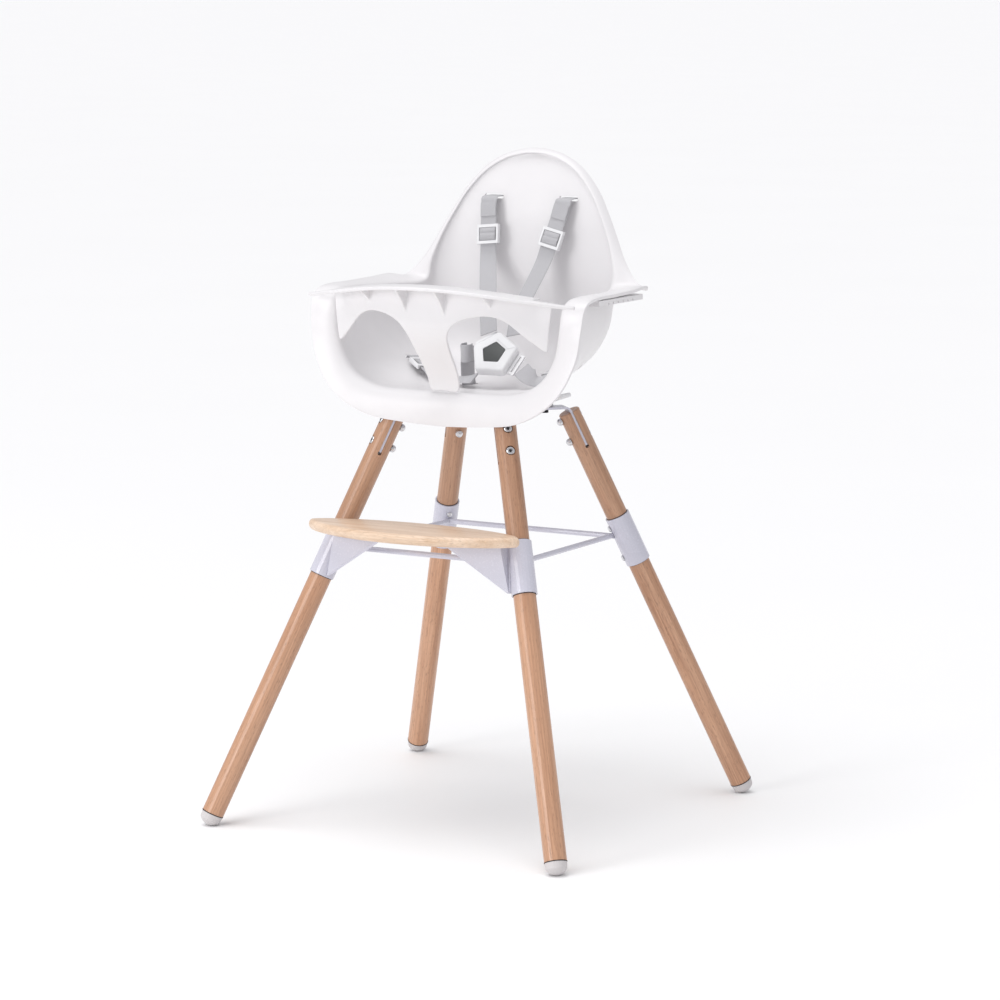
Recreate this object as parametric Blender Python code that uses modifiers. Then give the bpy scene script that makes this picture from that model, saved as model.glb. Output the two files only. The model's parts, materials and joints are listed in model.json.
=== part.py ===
"""Baby high chair: a moulded bucket seat on a steel cross frame with four splayed wooden legs.

Metres, +Z up. The chair faces -Y and stands on z = 0, centred between its feet.
"""
import bmesh
import bpy
import math
from mathutils import Matrix, Vector

# Legs: square plan, all four lean in towards the top
FOOT_HALF = 0.272           # half spacing of the leg axes at the floor
LEG_LEAN = 0.3363           # how far each axis moves in, in X and in Y, for each metre up
LEG_RADIUS = 0.015
LEG_TOP_Z = 0.5495
FOOT_JOINT_Z = 0.0165
GAP = 0.0003                # between pieces that touch
FOOT_SINK = 0.0004          # how much of the dome is cut flat where it stands
FOOT_STEM = (0.004, 0.012)  # radius and length of the stem that holds a foot in its leg

# Sleeves that join the two halves of each leg, and the ring of rods between them
COLLAR_LOW_Z = 0.338
COLLAR_HIGH_Z = 0.403
COLLAR_WALL = 0.002
ROD_RADIUS = 0.00375
ROD_Z = 0.374
COLLAR_BOLT_INSET = 0.013   # from each end of a sleeve
COLLAR_BOLT = (0.0042, 0.0022, 0.0016, 0.011)  # head radius, head height, shank radius, length

# Cross frame on the leg tops
PLATE_TOP_Z = 0.557
PLATE_THICK = 0.003
ARM_WIDTH = 0.028
HUB_RADIUS = 0.034
ARM_BEND = 0.006            # inner radius of each arm's bend
SLOT_DEPTH = 0.052          # saw slot, along the leg from its top
SLOT_HOLE_RADIUS = 0.0028
BLADE_SHORT = 0.0015        # the blade stops this far above the slot's end
BOLT_DEPTHS = (0.0085, 0.0395)  # below the leg's top, along the leg
BOLT_SHANK = 0.0028
BOLT_HEAD = (0.0056, 0.0034)    # radius, height
BOLT_SOCKET = (0.0028, 0.0020)  # radius, depth
BOLT_NUT = (0.0052, 0.0068)     # radius, height
BOLT_RECESS = (0.0069, 0.0042)  # radius, depth below the leg's side

# Seat base between the frame and the shell
BASE_HALF_X = 0.0725
BASE_HALF_Y = 0.080
BASE_UNDER = 0.0008         # room below the shell
BASE_THICK = 0.010
BASE_BOLT_AT = 0.063        # in X and in Y
BASE_BOLT = (0.0052, 0.0050, 0.0030, 0.012)   # head radius, head height, shank radius, length
LEVER_HALF = 0.0135         # across
LEVER_THICK = 0.006
LEVER_REACH = 0.036        # from the pin to the free end
LEVER_HEEL = 0.006          # from the pin to the other end
LEVER_TILT = math.radians(18)
LEVER_Z = 0.5635
PIN_RADIUS = 0.0020
PAD_HALF = 0.0085           # of the four pads that stand on the frame
PAD_SINK = 0.001            # overlap of each pad with the plate above

# Seat shell
SEAT_HALF = 0.177           # inside half width at the rim
FLOOR_Z = 0.587
RIM_Z = 0.714
TOP_Z = 0.8965
FRONT_Y = -0.088
BACK_Y = 0.131
WALL = 0.004
FULLNESS = 2.6              # exponent of the cross curves: 2 is elliptical, more is boxier
ROWS_PER_STATION = 2
CROSS_STEPS = 9
LIP_STEPS = 4
# Stations from the front of the floor to the top of the back. Each has the edge (x as a share of
# SEAT_HALF, y as a share of the seat's depth, height code), the spine (y share, height code) and the
# lip (width, rise, drop). Height codes run 0 to 1 from floor to rim and 1 to 2 from rim to top.
STATIONS = (
    (0.00, 0.000, 0.020, 0.020, 0.020, 0.0460, 0.0165, 0.0020),
    (0.34, 0.000, 0.024, 0.055, 0.012, 0.0450, 0.0165, 0.0020),
    (0.62, 0.000, 0.050, 0.140, 0.004, 0.0425, 0.0170, 0.0020),
    (0.82, 0.000, 0.180, 0.250, 0.000, 0.0410, 0.0150, 0.0020),
    (0.93, 0.000, 0.420, 0.375, 0.000, 0.0390, 0.0130, 0.0020),
    (0.968, 0.000, 0.700, 0.490, 0.003, 0.0380, 0.0130, 0.0020),
    (0.98, 0.022, 0.945, 0.600, 0.020, 0.0370, 0.0120, 0.0025),
    (0.980, 0.150, 1.000, 0.700, 0.060, 0.0375, 0.0105, 0.0030),
    (0.960, 0.390, 1.000, 0.800, 0.140, 0.0400, 0.0090, 0.0035),
    (0.910, 0.620, 1.000, 0.890, 0.290, 0.0480, 0.0080, 0.0045),
    (0.840, 0.790, 1.005, 0.960, 0.520, 0.0560, 0.0070, 0.0070),
    (0.815, 0.870, 1.050, 0.990, 0.830, 0.0430, 0.0060, 0.0090),
    (0.805, 0.900, 1.180, 0.998, 1.130, 0.0200, 0.0050, 0.0100),
    (0.736, 0.940, 1.380, 1.000, 1.380, 0.0110, 0.0040, 0.0120),
    (0.645, 0.975, 1.555, 1.008, 1.555, 0.0095, 0.0040, 0.0120),
    (0.545, 1.005, 1.715, 1.030, 1.715, 0.0090, 0.0040, 0.0120),
    (0.405, 1.033, 1.862, 1.055, 1.862, 0.0085, 0.0040, 0.0110),
    (0.250, 1.052, 1.952, 1.072, 1.952, 0.0080, 0.0040, 0.0105),
    (0.110, 1.062, 1.991, 1.082, 1.991, 0.0075, 0.0040, 0.0100),
    (0.000, 1.065, 2.000, 1.085, 2.000, 0.0075, 0.0040, 0.0100),
)
STRAP_SLOT = (0.030, 0.007)

# Front bumper
BUMPER_WALL = 0.004
BAR_HALF = 0.205
BAR_END_Z = 0.7115
BAR_RISE = 0.0225
BAR_THICK = 0.0050
BAR_END_Y = -0.1125
BAR_BULGE = 0.0675
BAR_END_DEPTH = 0.005
PANEL_END_Y = -0.096
PANEL_BULGE = 0.052
PANEL_HALF = 0.180
PANEL_FOOT_Z = 0.5925
PANEL_FULL_Z = 0.690       # height at which the panel has its whole bulge
# Lower edge of the panel from the crotch post's foot to the side prong: x and z of the edge, and x
# of the point above it under the bar
PANEL_EDGE = (
    (0.0000, 0.5925, 0.0000),
    (0.0205, 0.5925, 0.0215),
    (0.0245, 0.6150, 0.0255),
    (0.0265, 0.6450, 0.0290),
    (0.0300, 0.6680, 0.0330),
    (0.0380, 0.6820, 0.0400),
    (0.0500, 0.6905, 0.0510),
    (0.0660, 0.6960, 0.0670),
    (0.0840, 0.6985, 0.0850),
    (0.1020, 0.6960, 0.1030),
    (0.1160, 0.6885, 0.1170),
    (0.1300, 0.6760, 0.1310),
    (0.1440, 0.6640, 0.1460),
    (0.1555, 0.6545, 0.1590),
    (0.1610, 0.6530, 0.1680),
)
PANEL_ROWS = 6
BAR_COLUMNS = 16
BAR_STEPS = 3
BAR_CROWN = 0.0015
FINS = ((0.0295, 0.0380), (0.0930, 0.0200))    # x, height below the bar
FIN_THICK = 0.003

# Rails under the rim for a clip-on tray
RAIL_FRONT_Y = -0.040
RAIL_BACK_Y = 0.083
RAIL_OUT = (0.0110, 0.0260)                    # outwards from SEAT_HALF
RAIL_Z = (0.7090, 0.7162)
NOTCH = (0.0032, 0.0034, 0.0050)               # along y, up, and in from the outer side
NOTCH_FIRST_Y = -0.0134
NOTCH_PITCH = 0.01364
NOTCH_COUNT = 6

# Footrest
BOARD_HALF = 0.163
BOARD_MID_Y = -0.189
BOARD_HALF_DEPTH = 0.051
BOARD_TOP_Z = 0.418
BOARD_THICK = 0.014
BOARD_ROUND = 0.005
BRACKET_SHEET = 0.0025
BRACKET_TIP = (0.045, -0.180)
BRACKET_FOLD = (0.1275, -0.1700)
BRACKET_FOOT = (0.1400, -0.1700)
BRACKET_LEDGE_Y = -0.150
BRACKET_HOLE = 0.0085

# Harness
WEB_WIDTH = 0.025
WEB_THICK = 0.0014
WEB_TURN = 5                # how late along its route the webbing turns
# Routes start outside the shell. Each is followed by the direction of the webbing's width at its
# start and at its end
SHOULDER_ROUTE = {
    "left": ((-0.0590, 0.1480, 0.8365), (-0.0590, 0.1250, 0.8360), (-0.0583, 0.1200, 0.8280),
             (-0.0570, 0.1170, 0.8150), (-0.0551, 0.1132, 0.7950), (-0.0532, 0.1094, 0.7750),
             (-0.0513, 0.1056, 0.7550), (-0.0430, 0.0910, 0.7350), (-0.0260, 0.0620, 0.7100),
             (-0.0060, 0.0280, 0.6840), (0.0080, 0.0060, 0.6600)),
    "right": ((0.0590, 0.1480, 0.8365), (0.0590, 0.1250, 0.8360), (0.0578, 0.1200, 0.8280),
              (0.0548, 0.1165, 0.8130), (0.0500, 0.1110, 0.7930), (0.0452, 0.1055, 0.7730),
              (0.0404, 0.1000, 0.7530), (0.0375, 0.0830, 0.7310), (0.0370, 0.0560, 0.7060),
              (0.0410, 0.0270, 0.6800), (0.0470, 0.0080, 0.6590)),
}
SHOULDER_ACROSS = ((1, 0, 0), (0.95, 0.1, 0.25))
WAIST_ROUTE = {
    "left": ((-0.1290, 0.0344, 0.6163), (-0.1235, 0.0315, 0.6195), (-0.1130, 0.0250, 0.6155),
             (-0.1025, 0.0185, 0.6115), (-0.0920, 0.0120, 0.6075), (-0.0815, 0.0055, 0.6035),
             (-0.0710, -0.0010, 0.5995), (-0.0450, -0.0100, 0.5970), (-0.0180, -0.0155, 0.5980),
             (0.0030, -0.0220, 0.6020)),
    "right": ((0.1290, 0.0344, 0.6163), (0.1235, 0.0315, 0.6195), (0.1160, 0.0205, 0.6160),
              (0.1085, 0.0095, 0.6125), (0.1010, -0.0015, 0.6090), (0.0935, -0.0125, 0.6055),
              (0.0830, -0.0185, 0.6085), (0.0720, -0.0175, 0.6165)),
}
WAIST_ACROSS = {
    "left": ((0.50, 0.85, -0.06), (0.15, 0.95, 0.10)),
    "right": ((0.77, -0.60, 0.23), (-0.285, -0.616, -0.734)),
}
CROTCH_ROUTE = ((-0.0262, 0.0120, 0.5840), (-0.0285, 0.0120, 0.6000), (-0.0292, 0.0120, 0.6200),
                (-0.0285, 0.0125, 0.6400))
CROTCH_ACROSS = ((0.3, 0.95, 0.0), (0.3, 0.95, 0.0))
ADJUSTER = (0.0270, 0.0062)                    # height, depth
ADJUSTER_BAR = 0.0042
ADJUSTER_SIDE = 0.0030
ADJUSTER_ROOM = 0.0010       # at each edge of the webbing
ADJUSTER_LANE = 0.00075      # room between the webbing and each bar
BUCKLE_AT = (0.0300, -0.0150, 0.6325)
BUCKLE_RADIUS = 0.0345
BUCKLE_THICK = 0.0160
BUCKLE_TILT = math.radians(38)                 # the face looks this far above level
BUCKLE_TURN = math.radians(7)                  # and this far towards +X
BUTTON_RADIUS = 0.0175
BUTTON_THICK = 0.0035
BUTTON_TRAVEL = 0.003
BUTTON_CLEAR = 0.0004
ROUND_STEPS = 24
SMALL_STEPS = 16

FINISHES = {
    "shell_white": ((0.86, 0.85, 0.84), 0.32, 0.0),
    "wood": ((0.60, 0.33, 0.18), 0.45, 0.0),
    "wood_light": ((0.74, 0.50, 0.30), 0.45, 0.0),
    "steel_white": ((0.82, 0.82, 0.86), 0.28, 0.0),
    "foot_white": ((0.72, 0.72, 0.73), 0.50, 0.0),
    "zinc": ((0.70, 0.71, 0.73), 0.22, 1.0),
    "black_steel": ((0.02, 0.02, 0.02), 0.40, 1.0),
    "webbing": ((0.60, 0.61, 0.64), 0.80, 0.0),
    "clip_white": ((0.84, 0.84, 0.84), 0.35, 0.0),
    "button_grey": ((0.055, 0.060, 0.060), 0.45, 0.0),
}
CORNERS = {"front_left": (-1, -1), "front_right": (1, -1), "back_left": (-1, 1), "back_right": (1, 1)}
SIDES = {"left": -1, "right": 1}


def clear_scene():
    for obj in list(bpy.data.objects):
        bpy.data.objects.remove(obj)


def new_collection(name):
    collection = bpy.data.collections.new(name)
    bpy.context.scene.collection.children.link(collection)
    return collection


def finish(name):
    """The material of that name, made the first time it is asked for."""
    material = bpy.data.materials.get(name)
    if material:
        return material
    colour, roughness, metallic = FINISHES[name]
    material = bpy.data.materials.new(name)
    material.use_nodes = True
    shader = material.node_tree.nodes["Principled BSDF"]
    shader.inputs["Base Color"].default_value = (*colour, 1.0)
    shader.inputs["Roughness"].default_value = roughness
    shader.inputs["Metallic"].default_value = metallic
    return material


def add(name, mesh, material, matrix=None):
    """A part, in the chair's collection."""
    obj = bpy.data.objects.new(name, mesh)
    obj.matrix_world = matrix or Matrix()
    mesh.materials.append(finish(material))
    mesh.shade_smooth()
    mesh.set_sharp_from_angle(angle=math.radians(35))
    PARTS.objects.link(obj)
    return obj


def helper(name, mesh, matrix=None):
    """A cutter, or a shape that is joined to a part."""
    obj = bpy.data.objects.new(name, mesh)
    obj.matrix_world = matrix or Matrix()
    obj.hide_render = True
    obj.display_type = "WIRE"
    HELPERS.objects.link(obj)
    return obj


def boolean(obj, other, operation="DIFFERENCE"):
    modifier = obj.modifiers.new(other.name, "BOOLEAN")
    modifier.operation = operation
    modifier.object = other
    modifier.solver = "EXACT"


def bevel(obj, width, segments=2):
    modifier = obj.modifiers.new("rounding", "BEVEL")
    modifier.width = width
    modifier.segments = segments
    modifier.limit_method = "ANGLE"
    modifier.angle_limit = math.radians(40)


def from_bmesh(name, shape):
    mesh = bpy.data.meshes.new(name)
    shape.to_mesh(mesh)
    shape.free()
    return mesh


def box_mesh(name, low, high):
    shape = bmesh.new()
    size = Vector(high) - Vector(low)
    place = Matrix.Translation((Vector(high) + Vector(low)) / 2) @ Matrix.Diagonal((*size, 1))
    bmesh.ops.create_cube(shape, size=1, matrix=place)
    return from_bmesh(name, shape)


def rod_mesh(name, radius, low, high, steps=SMALL_STEPS):
    """A cylinder along Z between two heights."""
    shape = bmesh.new()
    bmesh.ops.create_cone(shape, cap_ends=True, segments=steps, radius1=radius, radius2=radius,
                          depth=high - low, matrix=Matrix.Translation((0, 0, (high + low) / 2)))
    return from_bmesh(name, shape)


def turned(name, profile, steps, make, *rest):
    """A solid of revolution about Z. The profile runs down its outer side, axis to axis or closed."""
    mesh = bpy.data.meshes.new(name)
    closed = profile[0] == profile[-1]
    points = profile[:-1] if closed else profile
    edges = [(i, i + 1) for i in range(len(points) - 1)]
    if closed:
        edges.append((len(points) - 1, 0))
    mesh.from_pydata([(x, 0, z) for x, z in points], edges, [])
    obj = make(name, mesh, *rest)
    screw = obj.modifiers.new("turn", "SCREW")
    screw.steps = steps
    screw.render_steps = steps
    screw.use_merge_vertices = True
    screw.merge_threshold = 0.00001
    return obj


def grid_mesh(name, rows):
    """An open surface through rows of points. Points that coincide are made one."""
    shape = bmesh.new()
    lines = [[shape.verts.new(point) for point in row] for row in rows]
    for low, high in zip(lines, lines[1:]):
        for k in range(len(low) - 1):
            shape.faces.new((low[k], low[k + 1], high[k + 1], high[k]))
    bmesh.ops.remove_doubles(shape, verts=shape.verts, dist=1e-6)
    bmesh.ops.dissolve_degenerate(shape, edges=shape.edges, dist=1e-7)
    bmesh.ops.recalc_face_normals(shape, faces=shape.faces)
    return from_bmesh(name, shape)


def solidify(obj, thickness, offset):
    modifier = obj.modifiers.new("wall", "SOLIDIFY")
    modifier.thickness = thickness
    modifier.offset = offset
    modifier.use_even_offset = True


def mirror_x(obj):
    modifier = obj.modifiers.new("mirror", "MIRROR")
    modifier.use_clip = True
    modifier.merge_threshold = 0.00001


def outline_mesh(name, outline, half_thickness):
    """A flat outline in X and Y, filled and given a thickness along Z."""
    curve = bpy.data.curves.new(name, "CURVE")
    curve.dimensions = "2D"
    curve.fill_mode = "BOTH"
    curve.extrude = half_thickness
    spline = curve.splines.new("POLY")
    spline.points.add(len(outline) - 1)
    for point, (x, y) in zip(spline.points, outline):
        point.co = (x, y, 0, 1)
    spline.use_cyclic_u = True
    guide = bpy.data.objects.new(name, curve)
    HELPERS.objects.link(guide)
    bpy.context.view_layer.update()
    made = bpy.data.meshes.new_from_object(guide.evaluated_get(bpy.context.evaluated_depsgraph_get()))
    bpy.data.objects.remove(guide)
    shape = bmesh.new()
    shape.from_mesh(made)
    bmesh.ops.remove_doubles(shape, verts=shape.verts, dist=1e-6)
    bmesh.ops.recalc_face_normals(shape, faces=shape.faces)
    return from_bmesh(name, shape)


def smooth(points, steps):
    """A Catmull-Rom curve through the points, with steps pieces between each pair."""
    ends = [2 * points[0] - points[1], *points, 2 * points[-1] - points[-2]]
    out = []
    for a, b, c, d in zip(ends, ends[1:], ends[2:], ends[3:]):
        for k in range(steps):
            t = k / steps
            out.append(0.5 * (2 * b + (c - a) * t + (2 * a - 5 * b + 4 * c - d) * t * t
                              + (3 * b - a - 3 * c + d) * t ** 3))
    return [*out, points[-1]]


# Leg geometry -------------------------------------------------------------------------------------


def leg_point(corner, z):
    reach = FOOT_HALF - LEG_LEAN * z
    return Vector((corner[0] * reach, corner[1] * reach, z))


def leg_frame(corner, z):
    """Z up the leg, X outwards across it, from the axis point at that height."""
    up = (leg_point(corner, 1) - leg_point(corner, 0)).normalized()
    across = Vector((-corner[1], corner[0], 0)).normalized() * (corner[0] * corner[1])
    out = across.cross(up)
    if out.dot(Vector((corner[0], corner[1], 0))) < 0:
        out, across = -out, -across
    turn = Matrix((out, up.cross(out), up)).transposed().to_4x4()
    return Matrix.Translation(leg_point(corner, z)) @ turn


def along(z_low, z_high):
    """Length along a leg between two heights."""
    return (z_high - z_low) * math.sqrt(1 + 2 * LEG_LEAN ** 2)


def side_on(corner, depth):
    """Z outwards across the leg at a depth below its top, along it."""
    return leg_frame(corner, LEG_TOP_Z) @ Matrix.Translation((0, 0, -depth)) @ Matrix.Rotation(
        math.pi / 2, 4, "Y")


def bolt_profile():
    head_low = LEG_RADIUS - BOLT_RECESS[1] + GAP
    head_high = head_low + BOLT_HEAD[1]
    nut_high = -LEG_RADIUS - GAP
    nut_low = nut_high - BOLT_NUT[1]
    return [
        (0, head_high - BOLT_SOCKET[1]),
        (BOLT_SOCKET[0], head_high - BOLT_SOCKET[1]),
        (BOLT_SOCKET[0], head_high),
        (BOLT_HEAD[0] - 0.0008, head_high),
        (BOLT_HEAD[0], head_high - 0.0008),
        (BOLT_HEAD[0], head_low),
        (BOLT_SHANK, head_low),
        (BOLT_SHANK, nut_high),
        (BOLT_NUT[0], nut_high),
        (BOLT_NUT[0], nut_high - 0.0030),
        (BOLT_NUT[0] * 0.8, nut_high - 0.0050),
        (BOLT_NUT[0] * 0.4, nut_low + 0.0004),
        (0, nut_low),
    ]


def bolt_cutter(name, corner, depth):
    profile = [
        (0, LEG_RADIUS + 0.004),
        (BOLT_RECESS[0], LEG_RADIUS + 0.004),
        (BOLT_RECESS[0], LEG_RADIUS - BOLT_RECESS[1]),
        (BOLT_SHANK + GAP, LEG_RADIUS - BOLT_RECESS[1]),
        (BOLT_SHANK + GAP, -LEG_RADIUS - 0.004),
        (0, -LEG_RADIUS - 0.004),
    ]
    return turned(name, profile, SMALL_STEPS, helper, side_on(corner, depth))


def collar_bolt_depth(end):
    """Depth of a sleeve bolt below the leg's top. End is 0 for the lower bolt and 1 for the upper."""
    length = along(COLLAR_LOW_Z, COLLAR_HIGH_Z)
    return along(COLLAR_HIGH_Z, LEG_TOP_Z) + (COLLAR_BOLT_INSET if end else length - COLLAR_BOLT_INSET)


def collar_bolt_cutter(name, corner, end):
    inner = LEG_RADIUS + COLLAR_WALL + 0.004
    mesh = rod_mesh(name, COLLAR_BOLT[2] + GAP, -inner, -inner + COLLAR_BOLT[3] + 0.006)
    return helper(name, mesh, side_on(corner, collar_bolt_depth(end)))


def split_z():
    """Height at which the two halves of a leg meet, inside the sleeve."""
    return (COLLAR_LOW_Z + COLLAR_HIGH_Z) / 2


def make_upper_leg(name, corner):
    length = along(split_z(), LEG_TOP_Z)
    mesh = rod_mesh(name, LEG_RADIUS, -length + GAP, 0, ROUND_STEPS)
    leg = add("upper_leg_" + name, mesh, "wood", leg_frame(corner, LEG_TOP_Z))
    bevel(leg, 0.0012, 1)
    half = PLATE_THICK / 2 + GAP
    slot = box_mesh("slot", (-half, -0.03, -SLOT_DEPTH), (half, 0.03, 0.01))
    boolean(leg, helper("slot_" + name, slot, leg_frame(corner, LEG_TOP_Z)))
    hole = rod_mesh("slot_end", SLOT_HOLE_RADIUS, -0.03, 0.03)
    place = Matrix.Translation((0, 0, -SLOT_DEPTH)) @ Matrix.Rotation(math.pi / 2, 4, "X")
    boolean(leg, helper("slot_end_" + name, hole, leg_frame(corner, LEG_TOP_Z) @ place))
    for k, depth in enumerate(BOLT_DEPTHS):
        boolean(leg, bolt_cutter(f"bolt_hole_{name}_{k}", corner, depth))
    if corner[1] > 0:
        boolean(leg, collar_bolt_cutter(f"collar_hole_high_{name}", corner, 1))


def make_lower_leg(name, corner):
    length = along(FOOT_JOINT_Z, split_z())
    mesh = rod_mesh(name, LEG_RADIUS, 0, length - GAP, ROUND_STEPS)
    leg = add("lower_leg_" + name, mesh, "wood", leg_frame(corner, FOOT_JOINT_Z))
    bevel(leg, 0.0008, 1)
    radius, stem = FOOT_STEM
    hole = rod_mesh("stem_hole", radius + GAP, -0.01, stem + 0.001)
    boolean(leg, helper("stem_hole_" + name, hole, leg_frame(corner, FOOT_JOINT_Z)))
    if corner[1] > 0:
        boolean(leg, collar_bolt_cutter(f"collar_hole_low_{name}", corner, 0))


def make_foot(name, corner):
    """A plastic dome with a stem in the leg. The dome's lowest part is flat on the floor."""
    radius = FOOT_JOINT_Z - GAP + FOOT_SINK
    side = LEG_RADIUS
    stem_radius, stem = FOOT_STEM
    profile = [(0, stem), (stem_radius, stem), (stem_radius, 0), (side - 0.0005, 0), (side, -0.0006)]
    first = math.asin(min(1, side / radius))
    for k in range(1, 9):
        angle = first * (1 - k / 8)
        profile.append((radius * math.sin(angle), -radius * math.cos(angle)))
    place = leg_frame(corner, FOOT_JOINT_Z) @ Matrix.Translation((0, 0, -GAP))
    foot = turned("foot_" + name, profile, ROUND_STEPS, add, "foot_white", place)
    x, y, z = leg_point(corner, 0)
    ground = box_mesh("ground", (x - 0.03, y - 0.03, -0.03), (x + 0.03, y + 0.03, 0))
    boolean(foot, helper("ground_" + name, ground))


def make_leg_bolts(name, corner):
    for depth, place in zip(BOLT_DEPTHS, ("upper", "lower")):
        turned(f"leg_bolt_{name}_{place}", bolt_profile(), SMALL_STEPS, add, "zinc",
               side_on(corner, depth))


def make_collar(name, corner):
    inner = LEG_RADIUS + GAP
    outer = inner + COLLAR_WALL
    length = along(COLLAR_LOW_Z, COLLAR_HIGH_Z)
    profile = [(outer, length), (outer, 0), (inner, 0), (inner, length), (outer, length)]
    collar = turned("collar_" + name, profile, ROUND_STEPS, add, "steel_white",
                    leg_frame(corner, COLLAR_LOW_Z))
    if corner[1] > 0:
        for end in (0, 1):
            boolean(collar, collar_bolt_cutter(f"sleeve_hole_{name}_{end}", corner, end))


def make_collar_bolts(name, corner):
    head, height, shank, length = COLLAR_BOLT
    seat = -(LEG_RADIUS + COLLAR_WALL + 2 * GAP)
    profile = [(0, seat + length), (shank, seat + length), (shank, seat), (head, seat),
               (head, seat - height * 0.5), (head * 0.6, seat - height), (0, seat - height)]
    for end, place in ((0, "lower"), (1, "upper")):
        turned(f"collar_bolt_{name}_{place}", profile, 12, add, "zinc",
               side_on(corner, collar_bolt_depth(end)))


def clear_sleeve(obj, name, corner):
    """Room around a sleeve, for a piece that meets its side."""
    length = along(COLLAR_LOW_Z, COLLAR_HIGH_Z)
    radius = LEG_RADIUS + COLLAR_WALL + 2 * GAP
    room = rod_mesh("sleeve_room", radius, -0.03, length + 0.03, ROUND_STEPS)
    boolean(obj, helper("sleeve_room_" + name, room, leg_frame(corner, COLLAR_LOW_Z)))


def make_ring():
    """Four rods between neighbouring sleeves, on their inner sides."""
    inset = LEG_RADIUS + GAP + COLLAR_WALL + ROD_RADIUS + GAP
    reach = FOOT_HALF - LEG_LEAN * ROD_Z - inset * math.cos(math.radians(45))
    end = reach - ROD_RADIUS
    places = {
        "front": (Vector((0, -reach, ROD_Z)), "Y"),
        "back": (Vector((0, reach, ROD_Z)), "Y"),
        "left": (Vector((-reach, 0, ROD_Z)), "X"),
        "right": (Vector((reach, 0, ROD_Z)), "X"),
    }
    for name, (at, axis) in places.items():
        half = reach + ROD_RADIUS if axis == "Y" else end - GAP
        mesh = rod_mesh(name, ROD_RADIUS, -half, half, 12)
        rod = add("ring_rod_" + name, mesh, "steel_white",
                  Matrix.Translation(at) @ Matrix.Rotation(math.pi / 2, 4, axis))
        for corner_name, corner in CORNERS.items():
            if (at.x * corner[0] + at.y * corner[1]) > 0:
                clear_sleeve(rod, f"{name}_{corner_name}", corner)


# Cross frame and seat base ------------------------------------------------------------------------


def arm_outline():
    """Side outline of half an arm, out to its blade: distance from the centre, and height."""
    up = (leg_point((1, 1), 1) - leg_point((1, 1), 0)).normalized()
    lean = math.atan2(up.z, math.hypot(up.x, up.y))
    middle = PLATE_TOP_Z - PLATE_THICK / 2
    radius = ARM_BEND + PLATE_THICK / 2
    meet = math.hypot(*leg_point((1, 1), middle).xy)
    tangent = radius * math.tan(lean / 2)
    centre = Vector((meet - tangent, middle - radius))
    blade = (along(0, 1) * (middle - LEG_TOP_Z) + SLOT_DEPTH - BLADE_SHORT) - tangent
    sides = []
    for offset in (PLATE_THICK / 2, -PLATE_THICK / 2):
        line = [Vector((0, middle + offset))]
        for k in range(6):
            angle = lean * k / 5
            line.append(centre + (radius + offset) * Vector((math.sin(angle), math.cos(angle))))
        line.append(line[-1] + blade * Vector((math.cos(lean), -math.sin(lean))))
        sides.append(line)
    return sides


def make_frame_plate():
    """Two crossed arms with a round hub. Each end is bent down into the slot of its leg."""
    top, under = arm_outline()
    outline = ([Vector((-p.x, p.y)) for p in reversed(top)] + top[1:]
               + list(reversed(under)) + [Vector((-p.x, p.y)) for p in under[1:]])
    stand = Matrix.Rotation(math.pi / 2, 4, "X")
    bars = []
    for k, angle in enumerate((45, 135)):
        mesh = outline_mesh(f"arm_{k}", outline, ARM_WIDTH / 2)
        bars.append((mesh, Matrix.Rotation(math.radians(angle), 4, "Z") @ stand))
    plate = add("frame_plate", bars[0][0], "steel_white", bars[0][1])
    boolean(plate, helper("second_arm", *bars[1]), "UNION")
    hub = rod_mesh("hub", HUB_RADIUS, PLATE_TOP_Z - PLATE_THICK, PLATE_TOP_Z, ROUND_STEPS)
    boolean(plate, helper("hub", hub), "UNION")
    for name, corner in CORNERS.items():
        for k, depth in enumerate(BOLT_DEPTHS):
            mesh = rod_mesh("blade_hole", BOLT_SHANK + GAP, -0.006, 0.006, 12)
            boolean(plate, helper(f"blade_hole_{name}_{k}", mesh, side_on(corner, depth)))
        at = (corner[0] * BASE_BOLT_AT, corner[1] * BASE_BOLT_AT, 0)
        mesh = rod_mesh("plate_hole", BASE_BOLT[2] + GAP, PLATE_TOP_Z - 0.01, PLATE_TOP_Z + 0.01, 12)
        boolean(plate, helper(f"plate_hole_{name}", mesh, Matrix.Translation(at)))


def make_seat_base():
    """A moulded plate under the shell on four pads. Each back pad carries the two bosses of a lever."""
    low = PLATE_TOP_Z + GAP
    top = FLOOR_Z - WALL - BASE_UNDER
    mesh = box_mesh("plate", (-BASE_HALF_X, -BASE_HALF_Y, top - BASE_THICK),
                    (BASE_HALF_X, BASE_HALF_Y, top))
    base = add("seat_base", mesh, "shell_white")
    bevel(base, 0.003)
    for name, corner in CORNERS.items():
        x, y = corner[0] * BASE_BOLT_AT, corner[1] * BASE_BOLT_AT
        pad = box_mesh("pad", (x - PAD_HALF, y - PAD_HALF, low),
                       (x + PAD_HALF, y + PAD_HALF, top - BASE_THICK + PAD_SINK))
        boolean(base, helper(f"pad_{name}", pad), "UNION")
    for name, side in SIDES.items():
        boss = rod_mesh("boss", PIN_RADIUS, -LEVER_HALF + GAP, LEVER_HALF - GAP, 16)
        boolean(base, helper(f"boss_{name}", boss, pin_place(side)), "UNION")
    for name, corner in CORNERS.items():
        at = (corner[0] * BASE_BOLT_AT, corner[1] * BASE_BOLT_AT, 0)
        mesh = rod_mesh("hole", BASE_BOLT[2] + GAP, low - 0.01, low + BASE_BOLT[3] + 0.001, 12)
        boolean(base, helper(f"base_hole_{name}", mesh, Matrix.Translation(at)))


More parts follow.
